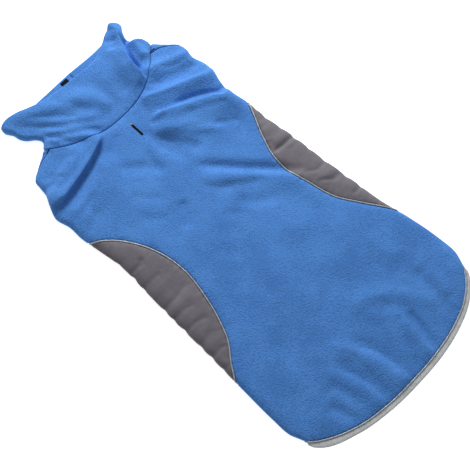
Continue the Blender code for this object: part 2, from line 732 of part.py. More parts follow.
def collar_tag():
    bpy.ops.mesh.primitive_cube_add(size=1.0)
    tag = bpy.context.object
    for group in list(tag.users_collection):
        group.objects.unlink(tag)
    tag.scale = [size * MM for size in TAG]
    tag.location = (TAG_AT[0] * MM, TAG_AT[1] * MM, (FLEECE + SEAM_GAP + TAG[2] / 2) * MM)
    return into_collection(tag, "collar_tag", "black_thread")


def build():
    for thing in list(bpy.data.objects):
        bpy.data.objects.remove(thing)
    bpy.context.scene.collection.children.link(bpy.data.collections.new("dog_winter_coat"))
    lines = seams()
    back_panel(lines)
    belly_panel(lines)
    chest_panel(lines)
    collar(lines)
    flank_piping("left", lines)
    flank_piping("right", lines)
    hem_trim(lines)
    slit_trim()
    collar_tag()


build()
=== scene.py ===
"""The looks of a dog's winter coat, laid flat on its belly side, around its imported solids.

The cloth is drawn in the plan that its solids have, in millimetres: p runs across from the middle
line of the back and q runs along it, with the collar at +q. Past the flank's edge, where |p| is
more than the half width, the cloth has turned under, so a piece is drawn unfolded about that edge.
The belly and chest pieces are drawn from below in the same way. lay() puts a point where it lies.
"""

from collections import namedtuple

import bmesh
import bpy
import numpy as np
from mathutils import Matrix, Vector, kdtree, noise
from mathutils.geometry import delaunay_2d_cdt


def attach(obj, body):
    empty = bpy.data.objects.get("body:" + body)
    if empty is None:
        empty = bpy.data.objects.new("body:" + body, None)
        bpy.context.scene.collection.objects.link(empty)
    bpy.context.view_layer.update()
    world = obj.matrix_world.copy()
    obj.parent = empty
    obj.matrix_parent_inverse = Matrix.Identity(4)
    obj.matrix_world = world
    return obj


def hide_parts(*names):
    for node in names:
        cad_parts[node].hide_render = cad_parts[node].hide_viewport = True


MM = 0.001

FLEECE = 4.0  # outer fleece and lining, worn as one cloth
SOFTSHELL = 3.0
SEAM_GAP = 0.3
PLAIN_SEAM = SEAM_GAP / 2  # each piece's edge from a plain seam's line
LEAST_TURN = 0.3  # radius left inside the turn
CROWN_SPAN = 70.0  # over which the top settles from the flank to the middle
FLANK_PIPING = 2.2  # across
PIPING_GAP = 0.05  # between a piped seam's cord and each of the two cloths it joins
PIPED_SEAM = FLANK_PIPING / 2 + PIPING_GAP  # each piece's edge from a piped seam's line
HEM_PIPING = 2.0
HEM_PIPING_SUNK = 1.4
PIPING_SUNK = 0.5  # its middle, under the cloth's face
HEM_BAND_THICK = 1.6
HEM_APART = 0.6  # between the hem, its piping and the band, where the hem bends
PIPING_SHORT = 7.0  # clear of the hems that it runs into
SLIT = (20.0, 1.4)  # length along the back, and width
SLIT_AT = (3.0, 178.0)
TAG = (12.0, 9.0, 0.6)  # width, length, thickness
TAG_AT = (-12.5, 300.5)

# The flat garment's outline: the flanks' distance from the middle, from rump to collar tips.
Station = namedtuple("Station", "y left right")
STATIONS = (
    Station(-320, 158, 158),
    Station(-275, 157, 156),
    Station(-260, 154, 154.5),
    Station(-242, 159.5, 160.5),
    Station(-215, 160, 161),
    Station(-165, 158, 155.8),
    Station(-125, 156, 149),
    Station(-80, 154, 146),
    Station(-30, 152, 142),
    Station(20, 149, 140),
    Station(60, 147, 136),
    Station(95, 151, 135),
    Station(125, 155, 130),
    Station(145, 154.8, 132),
    Station(168, 158.8, 138),
    Station(186, 152, 138),
    Station(200, 145, 133.5),
    Station(215, 142.6, 136),
    Station(228, 139, 134.5),
    Station(238, 122, 125.5),
    Station(248, 105, 116),
    Station(258, 95, 109),
    Station(268, 99, 106),
    Station(276, 108, 99),
    Station(284, 113, 91),
    Station(294, 115, 93),
    Station(304, 120.5, 99.5),
    Station(316, 120, 98),
)

# How far in from the flank's edge the cloth begins to turn under, seen from above.
Turn = namedtuple("Turn", "y radius")
TURNS = (
    Turn(-320, 8.0),
    Turn(-262, 6.6),
    Turn(-228, 15.0),
    Turn(-198, 12.5),
    Turn(-150, 7.6),
    Turn(-105, 10.5),
    Turn(-60, 16.0),
    Turn(85, 16.0),
    Turn(125, 12.0),
    Turn(200, 9.0),
    Turn(238, 6.4),
    Turn(280, 7.0),
    Turn(320, 7.0),
)
TURN_SHAPE = 0.66  # the power that keeps the cloth's length even round the turn

# Heights of the top face: along the middle, and where the flank begins to turn under.
Rise = namedtuple("Rise", "y middle flank")
RISES = (
    Rise(-320, 4.8, 5.2),
    Rise(-300, 5.4, 6.0),
    Rise(-275, 6.6, 7.2),
    Rise(-258, 7.2, 9.6),
    Rise(-235, 7.6, 10.4),
    Rise(-180, 8.0, 10.6),
    Rise(-130, 10.4, 10.8),
    Rise(-60, 10.8, 10.8),
    Rise(165, 10.8, 10.8),
    Rise(198, 10.8, 10.8),
    Rise(225, 12.4, 10.8),
    Rise(255, 16.5, 12.0),
    Rise(300, 19.0, 13.0),
    Rise(320, 19.0, 13.0),
)
LOWEST_ON_BELLY = FLEECE + SOFTSHELL + 0.9
LOWEST_ON_FLOOR = 4.2
BELLY_REACH = (-165.0, -125.0)  # q over which the belly panel begins to carry the top

# The largest folds: crest from start by way to end, how far each side falls off, and height.
# left and right are the sides of someone who walks from start to end. over is how far the crest
# of a sharp fold leans out over its steep side.
Fold = namedtuple("Fold", "start way end height left right over", defaults=(0.0,))
FOLDS = (
    # left shoulder
    Fold((-31, 214), (-84, 192), (-176, 177), 11.5, 5.6, 22, 4.6),
    Fold((-46, 203), (-80, 184.5), (-160, 171), -3.0, 5, 3.2),
    Fold((-62, 222), (-98, 208), (-134, 200), 3.4, 7, 8),
    Fold((-110, 208), (-128, 204), (-150, 206), -3.4, 6, 5),
    Fold((-46, 184), (-96, 163), (-168, 150), 4.0, 22, 13),
    # right shoulder
    Fold((26, 176), (80, 147), (166, 100), 9.0, 5.0, 24, 2.2),
    Fold((34, 206), (78, 186), (154, 153), 7.5, 5.5, 15),
    Fold((56, 213), (98, 198), (148, 179), -2.4, 7, 6),
    Fold((60, 232), (104, 219), (152, 197), 4.4, 8, 12),
    # back
    Fold((6, 166), (44, 137), (86, 92), 3.4, 10, 8),
    Fold((2, 150), (28, 122), (46, 92), -3.0, 8, 9),
    Fold((18, 172), (45, 151), (78, 134), -1.2, 9, 10),
    Fold((24, 104), (64, 52), (118, -4), 1.4, 11, 9),
    Fold((16, 90), (62, 35), (120, -32), -3.2, 6.5, 5.5),
    Fold((6, 74), (53, 26), (112, -44), 3.2, 8, 17),
    Fold((8, 46), (38, 22), (76, -12), -1.3, 10, 11),
    Fold((16, 14), (38, -7), (66, -28), -2.0, 9, 9),
    Fold((10, 176), (13, 138), (20, 92), -2.6, 9, 9),
    Fold((-60, 158), (-33, 138), (-8, 110), -2.2, 8, 9),
    Fold((-28, 66), (-39, 48), (-54, 28), -2.0, 8, 8),
    # rump
    Fold((-50, -196), (-20, -256), (-21, -318), 3.0, 9, 13),
    Fold((-26, -214), (-4, -258), (-2, -314), -1.8, 8, 10),
    Fold((46, -222), (43, -266), (31, -316), 2.8, 6, 10),
    Fold((60, -244), (53, -274), (45, -308), -2.0, 5, 7),
    Fold((-76, -214), (-59, -262), (-54, -314), 2.0, 9, 11),
    Fold((-60, -222), (-44, -262), (-42, -314), -1.6, 7, 8),
    Fold((-84, -240), (-85, -268), (-87, -298), 1.6, 7, 9),
    Fold((0, -188), (58, -216), (92, -280), 2.2, 12, 18),
    Fold((20, -198), (50, -226), (72, -262), -1.4, 9, 10),
    Fold((-106, -250), (-94, -274), (-86, -298), -2.0, 8, 8),
    Fold((108, -216), (102, -240), (97, -264), -1.5, 10, 9),
    Fold((102, -256), (98, -276), (96, -298), -1.4, 8, 8),
    # collar
    Fold((-10, 252), (-56, 282), (-112, 312), 3.6, 10, 12),
    Fold((-14, 224), (-46, 250), (-98, 292), 2.8, 6, 9),
    Fold((-16, 212), (-54, 239), (-100, 274), 3.1, 5.0, 7),
    Fold((-36, 208), (-64, 231), (-100, 258), 2.9, 5.0, 6),
    Fold((-74, 227), (-91, 241), (-106, 258), 2.0, 4.5, 4.5),
    Fold((4, 222), (-6, 250), (-28, 282), 2.4, 10, 10),
    Fold((52, 216), (56, 236), (64, 262), 2.0, 12, 8),
    Fold((64, 212), (64.5, 267), (112, 318), 9.5, 22, 4.0, 6.8),
    Fold((68, 234), (71.5, 261), (87, 287), -13.0, 2.4, 3.6),
    Fold((97, 292), (92, 268), (84, 240), 5.2, 9, 6.0),
    Fold((30, 222), (38, 250), (56, 290), -2.0, 12, 12),
    Fold((58, 284), (70, 300), (84, 322), -4.0, 6, 6),
)
FOLD_END = 0.22  # share of a fold's length over which it dies away at each end
FOLD_REACH = 3.2  # of its wider fall, past which a fold lifts nothing

# Seams and hems in the plan. Points past the flank's edge lie underneath.
FLANK_SEAMS = {
    "left": (
        (-196.5, 119), (-178, 118.5), (-164, 115.5), (-152, 110), (-130, 92), (-111, 63),
        (-99, 28), (-96, -4), (-103, -47), (-113, -80), (-126, -108), (-144, -130),
        (-157, -149), (-168, -162), (-183, -174),
    ),
    "right": (
        (166.5, 117), (155, 113.5), (145, 107.5), (135, 97), (121, 71), (107, 42),
        (98, 16), (97, -8), (103, -41), (111, -77), (131, -113), (145, -136),
        (155, -153), (166, -165), (181, -174),
    ),
}  # fmt: skip
SHOULDER_SEAMS = {
    "left": ((-96.5, 243), (-109, 240), (-124, 235.5), (-140, 227), (-160, 210), (-195.5, 185)),
    "right": ((96.5, 244), (108, 243), (119, 238), (130, 229), (146, 212), (170.5, 183)),
}
NECK_SEAM = (
    (-104, 249), (-96.5, 243), (-76, 228), (-50, 216), (-22, 208.5), (8, 206.5), (36, 209),
    (62, 218), (80, 230), (96.5, 244), (108.5, 256),
)  # fmt: skip
NECK_BELOW = ((108.5, 256), (97, 253), (56, 240), (0, 233), (-54, 239), (-93, 247), (-104, 249))
HEM = (
    (-183, -174), (-184, -190), (-181, -215), (-172, -239), (-162, -251.5), (-154, -260),
    (-142, -271), (-124, -282.5), (-93, -296), (-50, -305), (0, -308), (50, -306.5),
    (85, -301), (118, -290), (140, -275), (152.5, -261), (161, -251.5), (171, -239),
    (181, -215), (183, -190), (181, -174),
)  # fmt: skip
COLLAR_TOP = (
    (-120, 314), (-108, 316.8), (-92, 313.5), (-77, 306.5), (-60, 299.5), (-36, 294.8), (0, 292.4),
    (28, 291), (42, 293.5), (58, 302.5), (75, 313.5), (90, 318), (98, 312.5),
)  # fmt: skip
COLLAR_TOP_BELOW = (
    (98, 312.5), (78, 308.5), (52, 306.5), (0, 308.5), (-56, 308.5), (-90, 309.5), (-120, 314),
)  # fmt: skip
BELLY_HEM = ((133, -174), (84, -152), (36, -130), (0, -125), (-36, -130), (-84, -152), (-133, -174))

# Width of the band behind the hem piping, along the hem: it narrows where it turns under.
BandWidth = namedtuple("BandWidth", "p width")
BAND_WIDTHS = (
    BandWidth(-184, 4.0),
    BandWidth(-164, 2.0),
    BandWidth(-152, 3.0),
    BandWidth(-138, 6.6),
    BandWidth(-100, 5.8),
    BandWidth(70, 5.6),
    BandWidth(120, 4.2),
    BandWidth(140, 3.2),
    BandWidth(154, 1.8),
    BandWidth(184, 4.0),
)

# Leg openings, seen from below: middle, half sizes, and where the seams meet their edge.
LegOpening = namedtuple("LegOpening", "x y half_x half_y")
LEG_OPENINGS = {"left": LegOpening(-94, 152, 34, 40), "right": LegOpening(80, 150, 34, 40)}
LEG_SEAM_ANGLE = 55.0

# Short notches in the flanks' outline, where wrinkles of the grey cloth run over the edge.
Notch = namedtuple("Notch", "side y depth width")
NOTCHES = (
    Notch(-1, 64, 0.8, 5),
    Notch(-1, 36, 1.7, 5),
    Notch(-1, 17, 1.0, 4),
    Notch(-1, -22, 1.5, 5),
    Notch(-1, -39, 1.2, 4),
    Notch(-1, -58, 1.5, 5),
    Notch(-1, -88, 1.3, 5),
    Notch(-1, -107, 1.5, 5),
    Notch(-1, -128, 1.0, 4),
    Notch(1, 84, 1.0, 5),
    Notch(1, 66, 1.4, 5),
    Notch(1, 41, 1.0, 4),
    Notch(1, 17, 1.7, 5),
    Notch(1, -7, 1.2, 4),
    Notch(1, -33, 1.2, 5),
    Notch(1, -69, 1.5, 5),
    Notch(1, -93, 1.0, 4),
)

# Finer creases than the solids have, in the same terms.
CREASES = (
    # grey cloth, left flank
    Fold((-120, 50), (-132, 40), (-156, 32), -1.7, 2.4, 3.6),
    Fold((-128, 60), (-138, 61), (-154, 64), -0.7, 2.6, 3.0),
    Fold((-118, 16), (-132, 17), (-156, 18), -0.6, 2.6, 3.6),
    Fold((-104, -16), (-126, -21), (-158, -23), -1.0, 2.4, 3.6),
    Fold((-116, -48), (-132, -40), (-158, -37), -0.7, 2.8, 3.0),
    Fold((-118, -68), (-136, -62), (-160, -57), -1.0, 2.4, 3.4),
    Fold((-126, -84), (-140, -86), (-160, -89), -0.6, 3.0, 3.0),
    Fold((-128, -108), (-142, -108), (-160, -106), -0.9, 2.4, 3.2),
    Fold((-108, 6), (-134, 1), (-156, -3), 0.7, 6.0, 7.0),
    Fold((-108, -34), (-130, -31), (-156, -30), 0.5, 4.0, 6.0),
    Fold((-118, -76), (-138, -74), (-160, -72), 0.5, 6.0, 5.0),
    Fold((-124, -96), (-140, -97), (-160, -98), 0.5, 4.0, 5.0),
    # grey cloth, right flank
    Fold((100, 22), (120, 21), (142, 12), -2.0, 2.2, 3.4),
    Fold((128, 80), (131, 68), (140, 60), -1.8, 2.4, 2.8),
    Fold((118, 46), (128, 43), (142, 42), -1.2, 2.4, 2.6),
    Fold((118, 14), (129, 3), (138, -16), -0.8, 2.6, 3.0),
    Fold((110, -24), (122, -35), (138, -41), -0.9, 2.4, 2.6),
    Fold((112, -46), (128, -60), (148, -79), -1.3, 2.2, 3.0),
    Fold((128, -92), (138, -94), (154, -98), -1.2, 2.6, 3.0),
    Fold((110, 30), (124, 30), (140, 29), 1.1, 6.0, 6.0),
    Fold((112, -50), (128, -50), (150, -52), 1.1, 7.0, 7.0),
    # left shoulder
    Fold((-60, 210), (-92, 198), (-134, 192), -1.3, 3.5, 4.0),
    Fold((-86, 224), (-110, 214), (-136, 214), -1.6, 4.5, 4.5),
    Fold((-52, 218), (-74, 214), (-96, 214), -1.2, 4.0, 4.0),
    Fold((-66, 176), (-100, 166), (-140, 160), -1.0, 5.0, 6.0),
    Fold((-96, 158), (-120, 148), (-150, 146), -1.2, 5.0, 5.0),
    Fold((-110, 138), (-128, 128), (-150, 122), -1.0, 5.0, 6.0),
    Fold((-20, 196), (-32, 186), (-50, 180), -1.3, 5.0, 5.0),
    # right shoulder
    Fold((40, 200), (60, 188), (90, 175), -1.0, 4.0, 5.0),
    Fold((66, 208), (94, 193), (120, 187), -1.2, 3.5, 4.0),
    Fold((84, 224), (106, 209), (130, 205), -1.1, 4.0, 4.0),
    Fold((58, 170), (97, 154), (136, 123), -3.0, 2.8, 3.4),
    Fold((58, 148), (88, 130), (122, 112), -1.3, 4.5, 5.0),
    Fold((40, 138), (66, 118), (98, 96), -1.3, 5.0, 5.0),
    Fold((78, 110), (96, 96), (112, 88), -1.1, 5.0, 5.0),
    Fold((20, 176), (30, 166), (46, 158), -1.0, 4.0, 4.0),
    # back
    Fold((-12, 150), (-16, 128), (-14, 104), -1.3, 6.0, 6.0),
    Fold((-70, 120), (-58, 100), (-40, 84), -1.0, 6.0, 7.0),
    Fold((-86, 86), (-70, 72), (-56, 60), -0.9, 7.0, 7.0),
    Fold((2, 62), (16, 42), (34, 28), -1.2, 6.0, 6.0),
    Fold((22, 42), (46, 20), (70, 4), -1.2, 5.0, 6.0),
    Fold((-10, 20), (6, 0), (22, -10), -1.0, 7.0, 7.0),
    Fold((-50, -10), (-40, -30), (-24, -46), -0.9, 8.0, 8.0),
    Fold((40, -60), (60, -84), (84, -96), 1.0, 12.0, 14.0),
    Fold((-80, -70), (-60, -96), (-50, -130), 1.0, 14.0, 14.0),
    Fold((10, -90), (4, -130), (14, -170), -0.9, 12.0, 14.0),
    Fold((110, -140), (100, -170), (104, -200), 1.2, 14.0, 12.0),
    Fold((-110, -150), (-104, -186), (-116, -220), 1.2, 13.0, 14.0),
    # rump
    Fold((16, -210), (14, -240), (2, -276), -0.8, 7.0, 7.0),
    Fold((48, -206), (44, -232), (40, -256), -0.9, 7.0, 7.0),
    Fold((84, -214), (78, -240), (66, -272), -1.0, 7.0, 7.0),
    Fold((-30, -226), (-36, -256), (-36, -292), -0.9, 5.0, 6.0),
    Fold((-82, -232), (-74, -262), (-66, -292), -0.8, 7.0, 7.0),
    Fold((20, -290), (14, -298), (6, -305), -1.0, 4.0, 4.0),
    Fold((62, -246), (52, -278), (44, -306), -1.6, 2.6, 3.0),
    Fold((-22, -230), (-7, -258), (-4, -304), -1.5, 2.8, 3.4),
    Fold((-58, -234), (-47, -262), (-44, -304), -1.1, 2.8, 3.2),
    Fold((-6, -284), (-10, -296), (-8, -306), 1.2, 4.5, 4.5),
    Fold((118, -226), (112, -252), (112, -276), 1.2, 8.0, 7.0),
    # collar
    Fold((-38, 246), (-54, 264), (-98, 306), -1.2, 4.0, 4.0),
    Fold((-58, 240), (-74, 265), (-108, 299), -1.1, 3.5, 3.5),
    Fold((-68, 226), (-80, 248), (-92, 268), -1.3, 4.0, 4.0),
    Fold((-82, 232), (-92, 246), (-96, 260), -1.1, 3.5, 3.5),
    Fold((-20, 236), (-30, 262), (-52, 292), -1.2, 6.0, 6.0),
    Fold((14, 216), (10, 244), (2, 282), -1.1, 7.0, 7.0),
    Fold((20, 250), (30, 274), (44, 290), 1.2, 8.0, 8.0),
    Fold((48, 226), (54, 250), (64, 276), -1.4, 5.0, 5.0),
    Fold((60, 306), (67, 301), (75, 295), -1.8, 4.0, 5.0),
)

# Low creases of the side that rests on the floor, seen from below.
UNDER_CREASES = (
    Fold((-120, 60), (-60, 44), (-14, 52), 1.3, 5.0, 7.0),
    Fold((-8, 92), (20, 60), (66, 46), 1.1, 6.0, 6.0),
    Fold((30, 20), (76, 6), (128, 14), 1.3, 5.0, 6.0),
    Fold((-130, -10), (-84, -24), (-40, -12), 1.2, 6.0, 5.0),
    Fold((-60, -50), (-14, -66), (36, -54), 1.0, 7.0, 7.0),
    Fold((60, -40), (96, -64), (136, -68), 1.2, 5.0, 6.0),
    Fold((-120, -84), (-84, -98), (-56, -122), 1.1, 6.0, 6.0),
    Fold((20, -84), (52, -104), (76, -134), 1.0, 6.0, 7.0),
    Fold((-34, 170), (-6, 184), (28, 178), 1.2, 6.0, 6.0),
    Fold((-20, 204), (10, 212), (44, 202), 1.0, 5.0, 6.0),
    Fold((-50, 214), (-34, 222), (-10, 222), 0.9, 4.0, 5.0),
    Fold((-60, 252), (-30, 270), (-10, 298), 1.1, 5.0, 6.0),
    Fold((10, 246), (26, 266), (52, 284), 1.0, 5.0, 5.0),
    Fold((-86, 262), (-72, 280), (-66, 300), 1.0, 5.0, 5.0),
    Fold((-60, -180), (-40, -220), (-46, -262), 1.2, 9.0, 9.0),
    Fold((30, -190), (44, -230), (38, -276), 1.1, 9.0, 10.0),
    Fold((90, -200), (96, -230), (90, -256), 1.0, 8.0, 8.0),
)

SEAM_DIP = 0.8  # how far a seam draws the cloth in
SEAM_REACH = 5.0
SEAM_ENDS = 40  # shares of a seam's length: its relief rises in the first and dies in the last
PUCKER = 0.35  # height of the small waves along a seam
PUCKER_REACH = 8.0
PUCKER_WAVES = (11.0, 7.3)  # lengths along the seam, of two that beat
PUCKER_TRACE = 8.0  # spacing of points along the lines that pucker the cloth
UNEVEN = ((46.0, 0.9), (17.0, 0.35), (7.0, 0.12))  # soft waves of the cloth: size and height
UNEVEN_LAYERS = 7.3  # between the slices of noise that the waves of each size are read from
UNDER_SHARE = 0.3  # of that unevenness, where the cloth rests
UNDER_SLICE = 400  # how far aside the noise for the underside is read
SOFT_LEAST = 0.5  # how softly a trough's floor meets the least height

TRACE, TRACE_BELOW = 2.6, 4.0  # spacing of points along the seams and hems
CURVE_STEPS = 4  # a millimetre, in the curve that those points are taken from
TURN_STEPS = 3  # points at least in each radius of a flank's turn
CORNER = 0.2  # sine of the least turn that makes a corner between two edges
ROW_RISE = 0.87  # between rows of even triangles, in sides
TOP_MESH, UNDER_MESH, INNER_MESH = 2.5, 5.5, 8.0  # spacing of points on each face
FLANK_ROW = 2.2
FLANK_COLUMNS = (  # in radii from the edge
    -1.0, -0.78, -0.56, -0.36, -0.2, -0.08, 0.0, 0.08, 0.2, 0.36, 0.56, 0.78, 1.0,
)  # fmt: skip
INNER_ROW = 7.0
INNER_COLUMNS = (-1.0, -0.5, 0.0, 0.5, 1.0)
EDGE_CLEAR = 0.5  # of the spacing, between a piece's rim and the first points inside
COLUMN_CLEAR = 0.8
TURN_CLEAR = 0.3  # of the spacing, between the flank's turn and the even points
CREASE_CLEAR = 2.0  # between the flank's turn and the points along a leaning fold
CREASE_STEP = 3.0  # along the lines of points that follow a leaning fold
CREASE_FALLS = (  # places of those lines, in falls of its steep side
    -1.5, -1.1, -0.8, -0.5, -0.25, 0.0, 0.22, 0.44, 0.66, 0.88, 1.1, 1.35, 1.65, 2.0,
)  # fmt: skip
RIM = (0.0, 0.08, 0.3, 0.62, 1.0)  # rings of a rounded edge, in half thicknesses from it
WELD = 0.004  # between points that are one
INSIDE, INSIDE_LESS_HOLES = 1, 2  # the faces that delaunay_2d_cdt keeps
SAME_POINT = 1e-5
LEAN_EASE = 12.0  # over which a fold that leans comes upright again at the flank
SPINE_POINTS = 15  # along a fold's crest
SLIT_POINTS = 9  # round each end of the slit
BRIDGE_POINTS = 10  # along the seam between the leg openings
LEG_ARC_POINTS = 3  # at least, along a part of a leg opening's edge
COLLAR_END_POINTS = 20
CORD_SIDES, THREAD_SIDES = 10, 6
CORD_OFF_FLOOR = 0.1
PIPING_CLOSE = 0.1  # between the hem and its piping
END_SEAM = 0.02  # each collar end's edge from their seam
TAPE_TUCK = 0.6  # of the hem piping, under which the tape begins
TAPE_SUNK = 1.7  # its face, under the cloth's
TAPE_RIBS = 3
TAPE_RIB = 0.1
TAPE_RIB_POINTS = 4
TAPE_STITCH_REACH = 148  # from the middle line, past which no stitch of the tape shows
TAPE_STITCH_ENDS = 4  # points of the hem at each end that have no stitches
SHOULDER_STITCH_CLEAR = 2.0  # from the flank's edge
TAG_BOW = 0.25
TAG_FOLD, TAG_FOLD_REACH = 0.35, 0.06  # its folded end's extra thickness, and reach
TAG_POINTS_ACROSS, TAG_POINTS_ALONG = 13, 17
STITCH_DEPTHS = (0.9, -0.35, -0.55, -0.55, -0.35, 0.9)  # along a stitch, in thread radii

Stitch = namedtuple("Stitch", "offset length gap radius")
SEAM_STITCH = Stitch(2.6, 2.2, 1.3, 0.17)
TAPE_STITCH = Stitch(1.3, 1.9, 1.0, 0.14)
Whip = namedtuple("Whip", "pitch radius offsets depths")
WHIP = Whip(0.5, 0.28, (0.75, 0.5, 0.2, -0.1, -0.25, -0.3), (0.25, -0.2, -0.35, -0.1, 0.6, 1.8))
Bar = namedtuple("Bar", "count start pitch half_width radius depths")
BAR = Bar(5, 0.6, 0.42, 1.5, 0.22, (0.4, -0.2, -0.35, -0.4, -0.35, -0.2, 0.4))

# Each cloth's colour: its mean, and where its grain is darkest and lightest.
Colour = namedtuple("Colour", "mid dark light")
FLEECE_BLUE = Colour((0.075, 0.235, 0.62), (0.064, 0.203, 0.555), (0.088, 0.268, 0.690))
FLEECE_BLOOM = (0.45, 0.68, 1.0, 1.0)
SOFTSHELL_GREY = Colour((0.133, 0.122, 0.150), (0.115, 0.105, 0.130), (0.150, 0.138, 0.168))
PIPING_SILVER = Colour((0.37, 0.40, 0.44), (0.31, 0.34, 0.38), (0.43, 0.46, 0.50))
TAPE_GREY = Colour((0.53, 0.55, 0.56), (0.48, 0.50, 0.51), (0.58, 0.60, 0.61))
TAG_BLACK = Colour((0.012, 0.012, 0.015), (0.002, 0.002, 0.003), (0.010, 0.010, 0.012))
THREADS = {
    "black_thread": (0.012, 0.012, 0.015),
    "tan_thread": (0.42, 0.33, 0.16),
    "pale_thread": (0.42, 0.45, 0.46),
}
THREAD_DARK, THREAD_LIGHT = 0.7, 1.3  # shares of a thread's colour, along its twist

LENS, SENSOR = 85.0, 36.0
CAMERA_AZIMUTH, CAMERA_ELEVATION = -47.11, 70.8
CAMERA_TARGET, CAMERA_DISTANCE = (-0.0145, -0.0163, 0.0), 1.443
WORLD_LIGHT = 0.24
LIGHTS = (
    # name, place, size, energy
    ("key", (0.97, 1.15, 0.90), 0.7, 32.5),
    ("top", (0.30, 0.30, 1.70), 1.5, 4.0),
)
FLOOR_COLOUR, FLOOR_SIZE, FLOOR_BELOW = (0.95, 0.95, 0.95), 8.0, 0.0003
WHITE = (1.0, 1.0, 1.0, 1.0)
FLOOR_GLOW = 0.75  # the light box under the white paper


def through(stations, values, at):
    """A smooth curve through the table's values, read at the places given."""
    stations, values = np.asarray(stations, float), np.asarray(values, float)
    slopes = np.gradient(values, stations)
    at = np.clip(at, stations[0], stations[-1])
    row = np.clip(np.searchsorted(stations, at) - 1, 0, len(stations) - 2)
    step = stations[row + 1] - stations[row]
    t = (at - stations[row]) / step
    return (
        values[row] * (1 + 2 * t) * (1 - t) ** 2
        + slopes[row] * step * t * (1 - t) ** 2
        + values[row + 1] * t * t * (3 - 2 * t)
        + slopes[row + 1] * step * t * t * (t - 1)
    )


def ease(t):
    """From 0 to 1 without a kink, as t goes from 0 to 1."""
    t = np.clip(t, 0, 1)
    return t * t * (3 - 2 * t)


def half_width(side, q):
    """The flank's distance from the middle line: side is below 0 on the left."""
    side, q = np.asarray(side, float), np.asarray(q, float)
    ys = [row.y for row in STATIONS]
    left = through(ys, [row.left for row in STATIONS], q)
    right = through(ys, [row.right for row in STATIONS], q)
    for notch in NOTCHES:
        dent = notch.depth * np.exp(-(((q - notch.y) / notch.width) ** 2))
        if notch.side < 0:
            left = left - dent
        else:
            right = right - dent
    return np.where(side < 0, left, right)


def flank_radius(side, q):
    """The turn's radius across, wider where the edge runs aslant, so that it stays round."""
    slope = (half_width(side, q + 1.0) - half_width(side, q - 1.0)) / 2
    radius = through([row.y for row in TURNS], [row.radius for row in TURNS], q)
    return radius * np.sqrt(1 + slope * slope)


def from_flank(points):
    """How far past the flank's edge each plan point lies, and the turn's radius there."""
    p, q = points[:, 0], points[:, 1]
    return np.abs(p) - half_width(p, q), flank_radius(p, q)


def run_of(line):
    """How far along the line each of its points lies."""
    return np.concatenate([[0], np.cumsum(np.linalg.norm(np.diff(line, axis=0), axis=1))])


def read_at(line, run, wanted):
    """Points of the line at these places in its run."""
    return np.stack([np.interp(wanted, run, line[:, i]) for i in (0, 1)], axis=1)


def spine(fold):
    """Points along a fold's crest, on a bow from start by way to end."""
    start, way, end = (np.array(point, float) for point in fold[:3])
    pull = 2 * way - (start + end) / 2
    t = np.linspace(0, 1, SPINE_POINTS)[:, None]
    return (1 - t) ** 2 * start + 2 * t * (1 - t) * pull + t * t * end


def beside(line, x, y):
    """Each point's distance from the line, above 0 to its left, and how far along it lies."""
    best = np.full(x.shape, np.inf)
    signed, along = np.zeros(x.shape), np.zeros(x.shape)
    for i, (a, b) in enumerate(zip(line[:-1], line[1:])):
        dx, dy = b - a
        t = np.clip(((x - a[0]) * dx + (y - a[1]) * dy) / (dx * dx + dy * dy), 0, 1)
        off_x, off_y = x - a[0] - t * dx, y - a[1] - t * dy
        distance = np.hypot(off_x, off_y)
        nearer = distance < best
        best = np.where(nearer, distance, best)
        signed = np.where(nearer, np.sign(dx * off_y - dy * off_x) * distance, signed)
        along = np.where(nearer, (i + t) / (len(line) - 1), along)
    return signed, along


def around(line, reach, x, y):
    """Which points lie within reach of the line's box."""
    low, high = line.min(axis=0) - reach, line.max(axis=0) + reach
    return (x > low[0]) & (x < high[0]) & (y > low[1]) & (y < high[1])


def shares(fold, x, y):
    """How much of a fold's height each point has, and the way across its crest, to the right."""
    line = spine(fold)
    aside, along = beside(line, x, y)
    fall = np.where(aside > 0, fold.left, fold.right)
    ends = ease(along / FOLD_END) * ease((1 - along) / FOLD_END)
    ahead = np.gradient(line, axis=0)
    ahead /= np.linalg.norm(ahead, axis=1, keepdims=True)
    place = along * (len(line) - 1)
    across = [np.interp(place, np.arange(len(line)), part) for part in (ahead[:, 1], -ahead[:, 0])]
    return np.exp(-((aside / fall) ** 2)) * ends, across


def raised(folds, x, y):
    """How far these folds lift the cloth."""
    lift = np.zeros(x.shape)
    for fold in folds:
        near = around(spine(fold), FOLD_REACH * max(fold.left, fold.right), x, y)
        if near.any():
            lift[near] += fold.height * shares(fold, x[near], y[near])[0]
    return lift


def leaning(x, y):
    """How far the sharp folds lean over to their steep side, along x and y."""
    moved = np.zeros((2, *x.shape))
    for fold in FOLDS:
        near = around(spine(fold), FOLD_REACH * max(fold.left, fold.right), x, y)
        if fold.over and near.any():
            share, across = shares(fold, x[near], y[near])
            steep = -1 if fold.left < fold.right else 1
            for i in (0, 1):
                moved[i][near] += steep * fold.over * share * across[i]
    return moved


def uneven(x, y):
    """Soft waves of a few sizes, no two of them alike."""
    flat = np.stack([x.ravel(), y.ravel()], axis=1)
    lift = np.zeros(len(flat))
    for turn, (size, height) in enumerate(UNEVEN):
        layer = UNEVEN_LAYERS * turn
        lift += height * np.array([noise.noise(Vector((a, b, layer))) for a, b in flat / size])
    return lift.reshape(x.shape)


